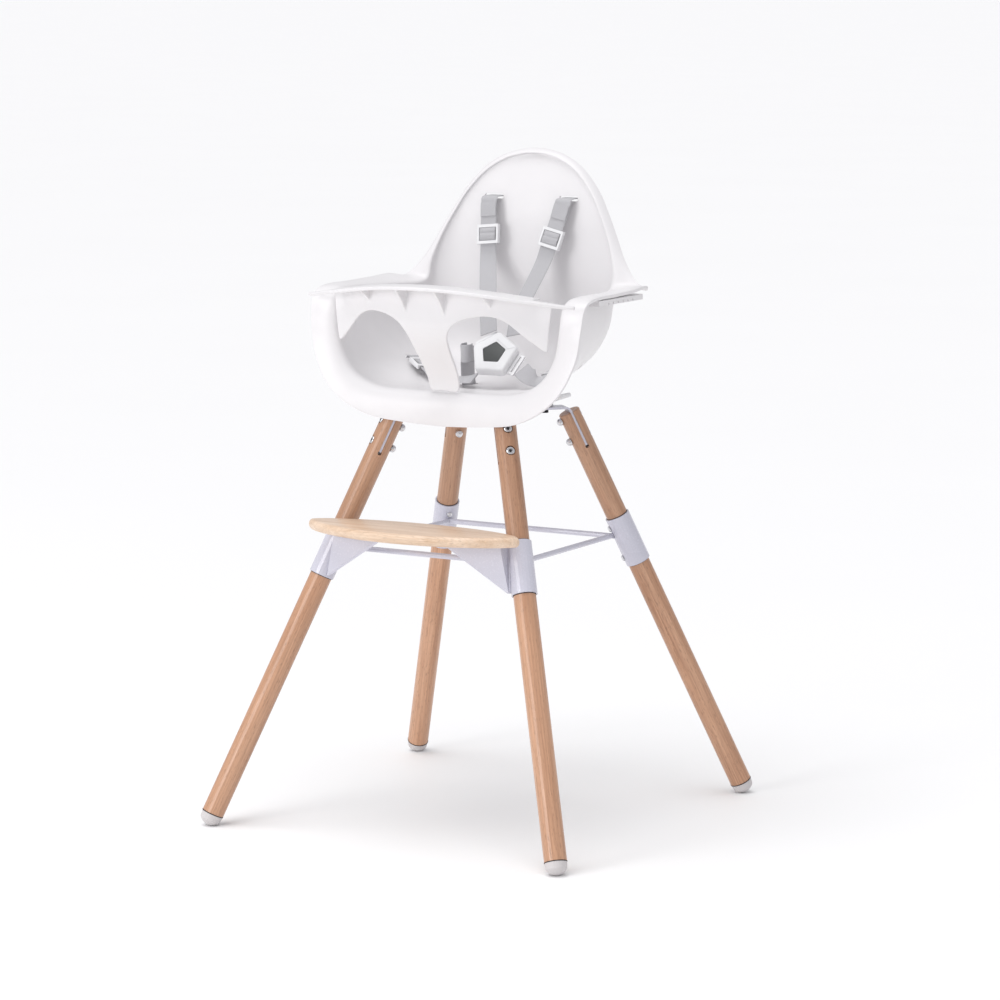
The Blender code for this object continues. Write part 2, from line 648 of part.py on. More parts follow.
def make_base_bolts():
    """Hexagon-headed bolts up through the frame into the seat base."""
    head, height, shank, length = BASE_BOLT
    seat = PLATE_TOP_Z - PLATE_THICK - GAP
    for name, corner in CORNERS.items():
        at = Matrix.Translation((corner[0] * BASE_BOLT_AT, corner[1] * BASE_BOLT_AT, 0))
        bolt = add("base_bolt_" + name, rod_mesh("head", head, seat - height, seat, 6),
                   "black_steel", at)
        shaft = rod_mesh("shaft", shank, seat - 0.001, seat + PLATE_THICK + length, 12)
        boolean(bolt, helper("shaft_" + name, shaft, at), "UNION")


def pin_place(side):
    """Z along the bosses of a back pad."""
    return (Matrix.Translation((side * BASE_BOLT_AT, BASE_BOLT_AT, LEVER_Z))
            @ Matrix.Rotation(-math.pi / 2, 4, "X"))


def make_release_levers():
    """Each lever straddles a back pad, turns on its bosses and tilts up towards its free end."""
    for name, side in SIDES.items():
        place = (Matrix.Translation((side * BASE_BOLT_AT, BASE_BOLT_AT, LEVER_Z))
                 @ Matrix.Rotation(-side * LEVER_TILT, 4, "Y"))
        xs = sorted((-side * LEVER_HEEL, side * LEVER_REACH))
        mesh = box_mesh("paddle", (xs[0], -LEVER_HALF, -LEVER_THICK / 2),
                        (xs[1], LEVER_HALF, LEVER_THICK / 2))
        lever = add("release_lever_" + name, mesh, "clip_white", place)
        bevel(lever, 0.0018)
        room = PAD_HALF + 0.0008
        xs = sorted((-side * (LEVER_HEEL + 0.01), side * (room + 0.004)))
        fork = box_mesh("fork", (xs[0], -room, -0.01), (xs[1], room, 0.01))
        boolean(lever, helper("fork_" + name, fork, place))
        bore = rod_mesh("bore", PIN_RADIUS + GAP, -LEVER_HALF - 0.01, LEVER_HALF + 0.01, 16)
        boolean(lever, helper("lever_bore_" + name, bore, pin_place(side)))


# Seat shell ---------------------------------------------------------------------------------------


def seat_y(share):
    return FRONT_Y + share * (BACK_Y - FRONT_Y)


def seat_z(code):
    if code <= 1:
        return FLOOR_Z + code * (RIM_Z - FLOOR_Z)
    return RIM_Z + (code - 1) * (TOP_Z - RIM_Z)


def shell_stations(steps):
    """Edge, spine and lip along the seat, from the front of the floor to the top of the back."""
    edges = [Vector((s[0] * SEAT_HALF, seat_y(s[1]), seat_z(s[2]))) for s in STATIONS]
    spines = [Vector((0, seat_y(s[3]), seat_z(s[4]))) for s in STATIONS]
    lips = [Vector(s[5:]) for s in STATIONS]
    return zip(smooth(edges, steps), smooth(spines, steps), smooth(lips, steps))


def cross_point(spine, edge, share):
    """A point of the curve that leaves the spine sideways and arrives at the edge upwards."""
    angle = share * math.pi / 2
    side = math.sin(angle) ** (2 / FULLNESS)
    rise = 1 - math.cos(angle) ** (2 / FULLNESS)
    return Vector((edge.x * side, spine.y + (edge.y - spine.y) * rise,
                   spine.z + (edge.z - spine.z) * rise))


def lip_point(edge, ahead, out, lip, share):
    """A point of the lip: it goes on past the edge, then rolls outwards and back."""
    width, rise, drop = lip
    first = 3 * share * (1 - share) ** 2
    second = 3 * share ** 2 * (1 - share)
    last = share ** 3
    return (edge + out * width * (0.45 * second + last)
            + ahead * (rise * (first + second + last) - drop * last))


def shell_rows(steps, cross_steps, lip_steps):
    stations = list(shell_stations(steps))
    rows = []
    for k, (edge, spine, lip) in enumerate(stations):
        before = stations[max(k - 1, 0)][0]
        after = stations[min(k + 1, len(stations) - 1)][0]
        path = (after - before).normalized()
        ahead = edge - spine
        if k in (0, len(stations) - 1):
            path = Vector((1 if k == 0 else -1, 0, 0))
            ahead = Vector((0, -1, 0))
        ahead.x = 0
        ahead = (ahead - path * ahead.dot(path)).normalized()
        out = path.cross(ahead).normalized()
        rows.append([cross_point(spine, edge, i / cross_steps) for i in range(cross_steps + 1)]
                    + [lip_point(edge, ahead, out, lip, i / lip_steps) for i in range(1, lip_steps + 1)])
    return rows


def cut_slot(shell, name, route, across):
    """A slot for the webbing, where the first stretch of its route goes through the wall."""
    half = Vector((STRAP_SLOT[0], 0.03, STRAP_SLOT[1])) / 2
    place = route_frame(route, 0, 0.5, Vector(across[0]))
    boolean(shell, helper("slot_" + name, box_mesh("slot", -half, half), place))


def make_shell():
    rows = shell_rows(ROWS_PER_STATION, CROSS_STEPS, LIP_STEPS)
    shell = add("seat_shell", grid_mesh("shell", rows), "shell_white")
    mirror_x(shell)
    solidify(shell, WALL, -1)
    for name in SIDES:
        cut_slot(shell, "shoulder_" + name, SHOULDER_ROUTE[name], SHOULDER_ACROSS)
        cut_slot(shell, "waist_" + name, WAIST_ROUTE[name], WAIST_ACROSS[name])
    cut_slot(shell, "crotch", CROTCH_ROUTE, CROTCH_ACROSS)


# Front bumper -------------------------------------------------------------------------------------


def panel_y(x, z):
    """Depth of the bumper's panel: it bulges forward in the middle and returns at the foot."""
    share = min(max((z - PANEL_FOOT_Z) / (PANEL_FULL_Z - PANEL_FOOT_Z), 0), 1)
    share = share * share * (3 - 2 * share)
    return PANEL_END_Y - PANEL_BULGE * (1 - (x / PANEL_HALF) ** 2) * share


def bar_z(x):
    return BAR_END_Z + BAR_RISE * max(1 - (x / BAR_HALF) ** 2, 0) ** 1.25


def bar_front_y(x):
    return BAR_END_Y - BAR_BULGE * (1 - (x / BAR_HALF) ** 2)


def bar_back_y(x):
    return max(panel_y(x, bar_z(x)) + 0.008, bar_front_y(x) + BAR_END_DEPTH) if x < 0.15 else (
        bar_front_y(x) + BAR_END_DEPTH + (BAR_HALF - x) * 0.12)


def panel_rows():
    rows = []
    for k in range(PANEL_ROWS + 1):
        share = k / PANEL_ROWS
        row = []
        for x_low, z_low, x_high in PANEL_EDGE:
            x = x_low + (x_high - x_low) * share
            z = z_low + (bar_z(x_high) - z_low) * share
            row.append(Vector((x, panel_y(x, z), z)))
        rows.append(row)
    return rows


def bar_crown(step):
    return BAR_CROWN * math.sin(math.pi * step / BAR_STEPS)


def bar_rows():
    rows = []
    for k in range(BAR_COLUMNS + 1):
        x = BAR_HALF * k / BAR_COLUMNS
        back, front = bar_back_y(x), bar_front_y(x)
        rows.append([Vector((x, back + (front - back) * j / BAR_STEPS, bar_z(x) + bar_crown(j)))
                     for j in range(BAR_STEPS + 1)])
    return rows


def fin_mesh(name, x, height):
    """A gusset under the bar, with a hollow front edge."""
    top = bar_z(x) - BAR_THICK * 0.3
    back = panel_y(x, top) + BUMPER_WALL * 0.3
    front = bar_front_y(x) + 0.0045
    foot = bar_z(x) - height
    outline = [(back, top), (back, foot)]
    for k in range(5):
        t = k / 4
        outline.append((panel_y(x, foot) - BUMPER_WALL * 0.45 + (front - panel_y(x, foot)) * t ** 1.5,
                        foot + (top - foot) * t))
    return outline_mesh(name, outline, FIN_THICK / 2)


def make_bumper():
    panel = add("front_bumper", grid_mesh("panel", panel_rows()), "shell_white")
    mirror_x(panel)
    solidify(panel, BUMPER_WALL, 0)
    bar = helper("bumper_bar", grid_mesh("bar", bar_rows()))
    mirror_x(bar)
    solidify(bar, BAR_THICK, 0)
    boolean(panel, bar, "UNION")
    stand = Matrix(((0, 0, 1, 0), (1, 0, 0, 0), (0, 1, 0, 0), (0, 0, 0, 1)))
    for k, (x, height) in enumerate(FINS):
        for name, side in SIDES.items():
            place = Matrix.Translation((side * x, 0, 0)) @ stand
            boolean(panel, helper(f"fin_{name}_{k}", fin_mesh("fin", x, height), place), "UNION")


def make_tray_rails():
    for name, side in SIDES.items():
        inner, outer = (SEAT_HALF + out for out in RAIL_OUT)
        xs = sorted((side * inner, side * outer))
        mesh = box_mesh("rail", (xs[0], RAIL_FRONT_Y, RAIL_Z[0]), (xs[1], RAIL_BACK_Y, RAIL_Z[1]))
        rail = add("tray_rail_" + name, mesh, "shell_white")
        length, height, depth = NOTCH
        for k in range(NOTCH_COUNT):
            y = NOTCH_FIRST_Y + k * NOTCH_PITCH
            ends = sorted((side * (outer - depth), side * (outer + 0.004)))
            cut = box_mesh("notch", (ends[0], y - length / 2, RAIL_Z[0] - 0.004),
                           (ends[1], y + length / 2, RAIL_Z[0] + height))
            boolean(rail, helper(f"notch_{name}_{k}", cut))


# Footrest -----------------------------------------------------------------------------------------


def board_outline():
    """A boat-shaped outline, widest in the middle."""
    steps = 14
    angles = [math.pi * (k / steps) for k in range(steps + 1)]
    front, back = [], []
    for angle in angles:
        share = -math.cos(angle)
        x = BOARD_HALF * share
        middle = BOARD_MID_Y + 0.0085 * share * share
        half = BOARD_HALF_DEPTH * max(1 - share * share, 0) ** 0.7
        front.append((x, middle - half))
        back.append((x, middle + half))
    return front + back[-2:0:-1]


def make_board():
    mesh = outline_mesh("board", board_outline(), BOARD_THICK / 2)
    board = add("footrest_board", mesh, "wood_light",
                Matrix.Translation((0, 0, BOARD_TOP_Z - BOARD_THICK / 2)))
    bevel(board, BOARD_ROUND, 3)


def bracket_mesh(name, side):
    """Folded sheet: a web that faces forward, a cheek back to the sleeve and a ledge for the board."""
    corner = (side, -1)
    under = BOARD_TOP_Z - BOARD_THICK - GAP - BRACKET_SHEET
    high = leg_point(corner, under)
    low = leg_point(corner, COLLAR_LOW_Z + 0.002)
    shape = bmesh.new()
    tip = shape.verts.new((side * BRACKET_TIP[0], BRACKET_TIP[1], under))
    fold = shape.verts.new((side * BRACKET_FOLD[0], BRACKET_FOLD[1], under))
    foot = shape.verts.new((side * BRACKET_FOOT[0], BRACKET_FOOT[1], low.z))
    wall_high = shape.verts.new((high.x - side * 0.008, high.y, under))
    wall_low = shape.verts.new((low.x - side * 0.008, low.y, low.z))
    ledge_fold = shape.verts.new((side * (BRACKET_FOLD[0] - 0.012), BRACKET_LEDGE_Y, under))
    ledge_tip = shape.verts.new((side * (BRACKET_TIP[0] + 0.012), BRACKET_LEDGE_Y, under))
    shape.faces.new((tip, fold, foot))
    shape.faces.new((fold, wall_high, wall_low, foot))
    shape.faces.new((tip, ledge_tip, ledge_fold, fold))
    bmesh.ops.recalc_face_normals(shape, faces=shape.faces)
    return from_bmesh(name, shape)


def make_brackets():
    for name, side in SIDES.items():
        corner = (side, -1)
        bracket = add("footrest_bracket_" + name, bracket_mesh("bracket", side), "steel_white")
        solidify(bracket, BRACKET_SHEET, 0)
        clear_sleeve(bracket, "bracket_" + name, corner)


# Harness ------------------------------------------------------------------------------------------


def ribbon_mesh(name, route, across, steps=3):
    """A strip of webbing along a route. Its width turns from one direction to another near its end."""
    points = smooth([Vector(p) for p in route], steps)
    rows = []
    for k, point in enumerate(points):
        share = (k / (len(points) - 1)) ** WEB_TURN
        wide = Vector(across[0]).lerp(Vector(across[1]), share)
        path = (points[min(k + 1, len(points) - 1)] - points[max(k - 1, 0)]).normalized()
        wide = (wide - path * wide.dot(path)).normalized() * WEB_WIDTH / 2
        rows.append([point - wide, point + wide])
    return grid_mesh(name, rows)


def make_strap(name, route, across):
    strap = add(name, ribbon_mesh(name, route, across), "webbing")
    solidify(strap, WEB_THICK, 0)


def route_frame(route, low_index, share, across):
    """X across the strap, Y up along it, Z out of its front, at a share of one stretch."""
    a, b = Vector(route[low_index]), Vector(route[low_index + 1])
    up = (a - b).normalized()
    wide = (across - up * across.dot(up)).normalized()
    turn = Matrix((wide, up, wide.cross(up))).transposed().to_4x4()
    return Matrix.Translation(a.lerp(b, share)) @ turn


def make_adjuster(name, place):
    """A slide: two bars in front of the webbing, one behind it and a side piece at each edge."""
    height, depth = ADJUSTER
    width = WEB_WIDTH + 2 * (ADJUSTER_SIDE + ADJUSTER_ROOM)
    lane = WEB_THICK / 2 + ADJUSTER_LANE
    sides = []
    for side in (-1, 1):
        xs = sorted((side * width / 2, side * (width / 2 - ADJUSTER_SIDE)))
        sides.append(box_mesh("side", (xs[0], -height / 2, -depth / 2), (xs[1], height / 2, depth / 2)))
    adjuster = add(name, sides[0], "clip_white", place)
    boolean(adjuster, helper(name + "_side", sides[1], place), "UNION")
    reach = width / 2 - ADJUSTER_SIDE / 2
    for k, y in enumerate((-height / 2 + ADJUSTER_BAR / 2, height / 2 - ADJUSTER_BAR / 2)):
        low, high = y - ADJUSTER_BAR / 2, y + ADJUSTER_BAR / 2
        bar = box_mesh("bar", (-reach, low, lane), (reach, high, depth / 2))
        boolean(adjuster, helper(f"{name}_front_{k}", bar, place), "UNION")
    back = box_mesh("back", (-reach, -ADJUSTER_BAR / 2, -depth / 2), (reach, ADJUSTER_BAR / 2, -lane))
    boolean(adjuster, helper(name + "_back", back, place), "UNION")


def pentagon(name, radius, low, high):
    """A five-sided prism with one corner up."""
    shape = bmesh.new()
    place = Matrix.Translation((0, 0, (high + low) / 2))
    bmesh.ops.create_cone(shape, cap_ends=True, segments=5, radius1=radius, radius2=radius,
                          depth=high - low, matrix=place)
    return from_bmesh(name, shape)


def buckle_place():
    """Z out of the buckle's face, Y up its face."""
    level = Vector((math.sin(BUCKLE_TURN), -math.cos(BUCKLE_TURN), 0))
    face = level * math.cos(BUCKLE_TILT) + Vector((0, 0, math.sin(BUCKLE_TILT)))
    up = (Vector((0, 0, 1)) - face * face.z).normalized()
    turn = Matrix((up.cross(face), up, face)).transposed().to_4x4()
    return Matrix.Translation(BUCKLE_AT) @ turn


def make_buckle():
    place = buckle_place()
    body = add("buckle_body", pentagon("body", BUCKLE_RADIUS, -BUCKLE_THICK / 2, BUCKLE_THICK / 2),
               "clip_white", place)
    bevel(body, 0.0030, 3)
    recess = BUTTON_THICK + BUTTON_TRAVEL + 0.0006
    well = pentagon("well", BUTTON_RADIUS + BUTTON_CLEAR, BUCKLE_THICK / 2 - recess, BUCKLE_THICK)
    boolean(body, helper("button_well", well, place))
    button = pentagon("button", BUTTON_RADIUS, BUCKLE_THICK / 2 - BUTTON_THICK, BUCKLE_THICK / 2)
    bevel(add("buckle_button", button, "button_grey", place), 0.0005, 1)


def tongue_place(angle):
    """X out of the buckle's edge in a direction of its face, from the buckle's centre."""
    return buckle_place() @ Matrix.Rotation(math.radians(angle), 4, "Z")


def make_tongue(name, angle):
    """A loop outside the buckle for the webbing, on a blade that enters the buckle."""
    place = tongue_place(angle)
    edge = BUCKLE_RADIUS * math.cos(math.radians(36)) + GAP
    loop = box_mesh("loop", (edge, -0.0160, -0.0065), (edge + 0.0105, 0.0160, -0.0035))
    tongue = add("buckle_tongue_" + name, loop, "clip_white", place)
    window = box_mesh("window", (edge + 0.0042, -0.0130, -0.02), (edge + 0.0075, 0.0130, 0.02))
    boolean(tongue, helper("tongue_window_" + name, window, place))
    blade = box_mesh("blade", (edge - 0.0110, -0.0075, -0.0060), (edge + 0.0010, 0.0075, -0.0040))
    boolean(tongue, helper("tongue_blade_" + name, blade, place), "UNION")
    room = box_mesh("room", (edge - 0.0125, -0.0080, -0.0064), (edge + 0.0100, 0.0080, -0.0036))
    boolean(bpy.data.objects["buckle_body"], helper("tongue_room_" + name, room, place))


def make_harness():
    for name in SIDES:
        shoulder, waist = SHOULDER_ROUTE[name], WAIST_ROUTE[name]
        make_strap("shoulder_strap_" + name, shoulder, SHOULDER_ACROSS)
        make_adjuster("shoulder_adjuster_" + name,
                      route_frame(shoulder, 4, 0.5, Vector(SHOULDER_ACROSS[0])))
        make_strap("waist_strap_" + name, waist, WAIST_ACROSS[name])
        make_adjuster("waist_adjuster_" + name,
                      route_frame(waist, 3, 0, Vector(WAIST_ACROSS[name][0])))
    make_strap("crotch_strap", CROTCH_ROUTE, CROTCH_ACROSS)
    make_buckle()
    make_tongue("left", 126)
    make_tongue("right", -18)


clear_scene()
PARTS = new_collection("baby_high_chair")
HELPERS = new_collection("cutters")
for corner_name, corner_signs in CORNERS.items():
    make_upper_leg(corner_name, corner_signs)
    make_lower_leg(corner_name, corner_signs)
    make_foot(corner_name, corner_signs)
    make_collar(corner_name, corner_signs)
    make_leg_bolts(corner_name, corner_signs)
    if corner_signs[1] > 0:
        make_collar_bolts(corner_name, corner_signs)
make_ring()
make_frame_plate()
make_seat_base()
make_base_bolts()
make_release_levers()
make_shell()
make_tray_rails()
make_bumper()
make_board()
make_brackets()
make_harness()
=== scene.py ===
"""Looks of the baby high chair: moulded shell and bumper, woven harness, oiled beech and coated steel.

Metres, +Z up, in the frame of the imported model. The chair faces -Y.
"""
import bmesh
import bpy
import json
import math
from mathutils import Matrix, Vector


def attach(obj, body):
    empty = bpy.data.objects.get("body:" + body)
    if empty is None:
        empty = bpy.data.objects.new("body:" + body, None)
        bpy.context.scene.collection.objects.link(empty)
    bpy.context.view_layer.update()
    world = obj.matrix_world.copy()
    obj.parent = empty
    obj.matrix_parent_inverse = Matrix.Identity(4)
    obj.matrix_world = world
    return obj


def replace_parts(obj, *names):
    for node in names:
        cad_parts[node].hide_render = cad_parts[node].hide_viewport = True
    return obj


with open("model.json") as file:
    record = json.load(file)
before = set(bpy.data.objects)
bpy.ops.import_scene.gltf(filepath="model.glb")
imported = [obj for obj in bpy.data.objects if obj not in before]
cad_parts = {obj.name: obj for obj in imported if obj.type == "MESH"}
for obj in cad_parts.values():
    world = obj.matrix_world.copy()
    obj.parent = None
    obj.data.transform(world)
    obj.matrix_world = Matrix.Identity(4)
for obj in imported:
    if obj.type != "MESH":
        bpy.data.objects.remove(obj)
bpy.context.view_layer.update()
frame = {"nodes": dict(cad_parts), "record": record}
RECORD = frame["record"]
NODES = frame["nodes"]

# Camera, a few metres in front of the chair and towards +X
CAMERA_AT = (2.4487, -4.1629, 1.1621)
CAMERA_TURN = 30.167        # degrees about Z, from looking along +Y
CAMERA_PITCH = 8.605        # degrees down
LENS = 128.8                # mm
SENSOR = 36                 # mm
CLIP_END = 2000             # m, past the floor's edge

# Studio
FLOOR_HALF = 300.0          # far enough that no edge shows
FLOOR_THICK = 0.05
WORLD_STRENGTH = 0.60
WORLD_COLOUR = (0.975, 0.972, 1.0)
SKY = (1.60, 50, (-0.10, -0.25, 1.0))   # overhead light: strength, angle across in degrees, direction
LAMPS = (                   # place, diameter, power and the point it faces
    ("front", (-1.6, -4.4, 1.55), 2.0, 56, (0, 0, 0.70)),
)

# Seat shell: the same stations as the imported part, at a finer pitch
SEAT_HALF = 0.177
FLOOR_Z = 0.587
RIM_Z = 0.714
TOP_Z = 0.8965
FRONT_Y = -0.088
BACK_Y = 0.131
WALL = 0.004
FULLNESS = 2.6
STATIONS = (
    (0.00, 0.000, 0.020, 0.020, 0.020, 0.0460, 0.0165, 0.0020),
    (0.34, 0.000, 0.024, 0.055, 0.012, 0.0450, 0.0165, 0.0020),
    (0.62, 0.000, 0.050, 0.140, 0.004, 0.0425, 0.0170, 0.0020),
    (0.82, 0.000, 0.180, 0.250, 0.000, 0.0410, 0.0150, 0.0020),
    (0.93, 0.000, 0.420, 0.375, 0.000, 0.0390, 0.0130, 0.0020),
    (0.968, 0.000, 0.700, 0.490, 0.003, 0.0380, 0.0130, 0.0020),
    (0.98, 0.022, 0.945, 0.600, 0.020, 0.0370, 0.0120, 0.0025),
    (0.980, 0.150, 1.000, 0.700, 0.060, 0.0375, 0.0105, 0.0030),
    (0.960, 0.390, 1.000, 0.800, 0.140, 0.0400, 0.0090, 0.0035),
    (0.910, 0.620, 1.000, 0.890, 0.290, 0.0480, 0.0080, 0.0045),
    (0.840, 0.790, 1.005, 0.960, 0.520, 0.0560, 0.0070, 0.0070),
    (0.815, 0.870, 1.050, 0.990, 0.830, 0.0430, 0.0060, 0.0090),
    (0.805, 0.900, 1.180, 0.998, 1.130, 0.0200, 0.0050, 0.0100),
    (0.736, 0.940, 1.380, 1.000, 1.380, 0.0110, 0.0040, 0.0120),
    (0.645, 0.975, 1.555, 1.008, 1.555, 0.0095, 0.0040, 0.0120),
    (0.545, 1.005, 1.715, 1.030, 1.715, 0.0090, 0.0040, 0.0120),
    (0.405, 1.033, 1.862, 1.055, 1.862, 0.0085, 0.0040, 0.0110),
    (0.250, 1.052, 1.952, 1.072, 1.952, 0.0080, 0.0040, 0.0105),
    (0.110, 1.062, 1.991, 1.082, 1.991, 0.0075, 0.0040, 0.0100),
    (0.000, 1.065, 2.000, 1.085, 2.000, 0.0075, 0.0040, 0.0100),
)
SHELL_STEPS = (5, 30, 10)   # rows for each station, across the bucket, across the lip
SHELL_ROUND = 0.0014        # rounding of the free edges
SLOT_ROUND = 0.003
SLOT_REACH = 0.03           # how far a slot's cutter runs through the wall

# Front bumper
BUMPER_WALL = 0.004
BAR_HALF = 0.205
BAR_END_Z = 0.7115
BAR_RISE = 0.0225
BAR_THICK = 0.0050
BAR_END_Y = -0.1125
BAR_BULGE = 0.0675
BAR_END_DEPTH = 0.005
PANEL_END_Y = -0.096
PANEL_BULGE = 0.052
PANEL_HALF = 0.180
PANEL_FOOT_Z = 0.5925
PANEL_FULL_Z = 0.690
PANEL_EDGE = (
    (0.0000, 0.5925, 0.0000),
    (0.0205, 0.5925, 0.0215),
    (0.0245, 0.6150, 0.0255),
    (0.0265, 0.6450, 0.0290),
    (0.0300, 0.6680, 0.0330),
    (0.0380, 0.6820, 0.0400),
    (0.0500, 0.6905, 0.0510),
    (0.0660, 0.6960, 0.0670),
    (0.0840, 0.6985, 0.0850),
    (0.1020, 0.6960, 0.1030),
    (0.1160, 0.6885, 0.1170),
    (0.1300, 0.6760, 0.1310),
    (0.1440, 0.6640, 0.1460),
    (0.1555, 0.6545, 0.1590),
    (0.1610, 0.6530, 0.1680),
)
FINS = ((0.0295, 0.0380), (0.0930, 0.0200))
FIN_THICK = 0.003
FIN_STEPS = 12
BAR_CROWN = 0.0015
BUMPER_STEPS = (4, 24, 48, 6)   # panel: for each edge point, and up; bar: along, and across
BUMPER_VOXEL = 0.0011       # the pieces are fused at this pitch
BUMPER_RELAX = 5            # rounds of smoothing, for the fillets

# Footrest
BOARD_HALF = 0.163
BOARD_MID_Y = -0.189
BOARD_SWEEP = 0.0085
BOARD_HALF_DEPTH = 0.051
BOARD_TOP_Z = 0.418
BOARD_THICK = 0.014
BOARD_ROUND = 0.0066
BOARD_STEPS = 64            # along it
BOARD_ROWS = 12             # round its edge

# Harness
WEB_WIDTH = 0.025
WEB_THICK = 0.0014
WEB_TURN = 5                # how late along its route the webbing turns
WEB_STEPS = 10              # rows between each pair of a route's points
WEB_RIB = 0.00125           # pitch of the ribs across the weave
WEB_PICK = 0.0014           # pitch of the threads along it
STRAP_SLOT = (0.030, 0.007)
SHOULDER_ROUTE = {
    "left": ((-0.0590, 0.1480, 0.8365), (-0.0590, 0.1250, 0.8360), (-0.0583, 0.1200, 0.8280),
             (-0.0570, 0.1170, 0.8150), (-0.0551, 0.1132, 0.7950), (-0.0532, 0.1094, 0.7750),
             (-0.0513, 0.1056, 0.7550), (-0.0430, 0.0910, 0.7350), (-0.0260, 0.0620, 0.7100),
             (-0.0060, 0.0280, 0.6840), (0.0080, 0.0060, 0.6600)),
    "right": ((0.0590, 0.1480, 0.8365), (0.0590, 0.1250, 0.8360), (0.0578, 0.1200, 0.8280),
              (0.0548, 0.1165, 0.8130), (0.0500, 0.1110, 0.7930), (0.0452, 0.1055, 0.7730),
              (0.0404, 0.1000, 0.7530), (0.0375, 0.0830, 0.7310), (0.0370, 0.0560, 0.7060),
              (0.0410, 0.0270, 0.6800), (0.0470, 0.0080, 0.6590)),
}
SHOULDER_ACROSS = ((1, 0, 0), (0.95, 0.1, 0.25))
WAIST_ROUTE = {
    "left": ((-0.1290, 0.0344, 0.6163), (-0.1235, 0.0315, 0.6195), (-0.1130, 0.0250, 0.6155),
             (-0.1025, 0.0185, 0.6115), (-0.0920, 0.0120, 0.6075), (-0.0815, 0.0055, 0.6035),
             (-0.0710, -0.0010, 0.5995), (-0.0450, -0.0100, 0.5970), (-0.0180, -0.0155, 0.5980),
             (0.0030, -0.0220, 0.6020)),
    "right": ((0.1290, 0.0344, 0.6163), (0.1235, 0.0315, 0.6195), (0.1160, 0.0205, 0.6160),
              (0.1085, 0.0095, 0.6125), (0.1010, -0.0015, 0.6090), (0.0935, -0.0125, 0.6055),
              (0.0830, -0.0185, 0.6085), (0.0720, -0.0175, 0.6165)),
}
WAIST_ACROSS = {
    "left": ((0.50, 0.85, -0.06), (0.10, 0.78, 0.55)),
    "right": ((0.77, -0.60, 0.23), (-0.285, -0.616, -0.734)),
}
CROTCH_ROUTE = ((-0.0262, 0.0120, 0.5840), (-0.0285, 0.0120, 0.6000), (-0.0292, 0.0120, 0.6200),
                (-0.0285, 0.0125, 0.6400))
CROTCH_ACROSS = ((0.3, 0.95, 0.0), (0.3, 0.95, 0.0))
WAIST_TURN = (0.60, 0.76)   # shares of the route between which the right waist strap turns
HEM_Z = (0.8085, 0.8290)    # lower end and top of the doubled webbing
HEM_BACK_Y = 0.124          # it stays in front of this
HEM_INSET = 0.0006          # how much narrower the second layer is
STITCHES = 9
STITCH = (0.0016, 0.00045, 0.0005)
STITCH_SPREAD = 0.84        # share of the webbing's width
FOLD_RISE = 0.0024          # of the webbing between a slide's front bars
FOLD_DIP = (0.42, 0.12, 0.20)   # depth as a share of the rise, middle and width of its crease
FOLD_STEPS = 24
CURL_AT = (-0.0225, -0.0010, 0.6325)
CURL_AXIS = (0.02, -0.12, 0.99)
CURL_OUT = (-0.10, -1.0, 0)     # the way the curl's back faces
CURL_RADIUS = 0.0078
CURL_OVAL = 0.10
CURL_SPAN = (-150, 150)     # degrees round it
CURL_STEPS = 40
ADJUSTER = (0.0330, 0.0270, 0.0062)     # width, height, depth
ADJUSTER_BAR = 0.0042
ADJUSTER_SIDE = 0.0030
ADJUSTER_LANE = 0.0006      # room between the webbing and each bar
ADJUSTER_ROUND = 0.0007
BUCKLE_AT = (0.0300, -0.0150, 0.6325)
BUCKLE_RADIUS = 0.0345
BUCKLE_THICK = 0.0160
BUCKLE_TILT = math.radians(38)      # the face looks this far above level
BUCKLE_TURN = math.radians(7)       # and this far towards +X
BUCKLE_CORNER = 0.006
BUCKLE_ROUND = 0.0032
SEAM = (-0.0012, -0.0007, 0.0006)   # lower and upper edge of the case's parting line, and its depth
GROOVES = (                 # angle, start and end along it, distance aside
    (18, 0.0185, 0.0365, 0),
    (-36, -0.0125, 0.0155, 0.0172),
)
GROOVE = (0.0005, 0.0005)   # width, depth
BUTTON_RADIUS = 0.0175
BUTTON_CORNER = 0.002
BUTTON_ROUND = 0.0006
BUTTON_THICK = 0.0035
BUTTON_TRAVEL = 0.003
BUTTON_CLEAR = 0.0004
BUTTON_REST = 0.0006        # room under the pressed button
CUT_PAST = 0.010            # how far a cutter stands out of the case

# Legs and the small pieces on them
FOOT_HALF = 0.272           # half spacing of the leg axes at the floor
LEG_LEAN = 0.3363           # how far each axis moves in, in X and in Y, for each metre up
LEG_RADIUS = 0.015
LEG_TOP_Z = 0.5495
FOOT_JOINT_Z = 0.0165
COLLAR_LOW_Z = 0.338
COLLAR_HIGH_Z = 0.403
# Thin dark rings painted as the shadow in the gap at each end of a steel sleeve and above each foot
PAINTED_SHADOW_RING = (0.0004, 0.0003, 0.0008)    # inwards and outwards from the leg's side, and height
PAINTED_SHADOW_RING_Z = {"low": COLLAR_LOW_Z - 0.0009, "high": COLLAR_HIGH_Z + 0.0002, "foot": FOOT_JOINT_Z - 0.0003}
BOLT_DEPTHS = (0.0085, 0.0395)
BOLT_SINK = 0.0023          # from the leg's side in to the bottom of a bolt's socket
SOCKET_SHADE = (0.0024, 0.0006)   # radius and thickness of the dark disc painted as shade at the bottom of a socket
BEECH_PALE = (0.60, 0.345, 0.215)
BEECH_DARK = (0.43, 0.215, 0.120)
UPPER_SHADE = 0.86          # the upper legs' wood colour is a little darker
PALE_LEG = "lower_leg_back_left"
PALE_SHADE = 1.12
CATCH = ((0.1990, -0.0830, 0.7020), (0.2005, -0.0835, 0.6950), (0.2015, -0.0840, 0.6880),
         (0.2010, -0.0840, 0.6820), (0.1980, -0.0835, 0.6770))
CATCH_WIDTH = 0.006
CORNERS = {"front_left": (-1, -1), "front_right": (1, -1), "back_left": (-1, 1), "back_right": (1, 1)}
SIDES = {"left": -1, "right": 1}


# Materials ----------------------------------------------------------------------------------------


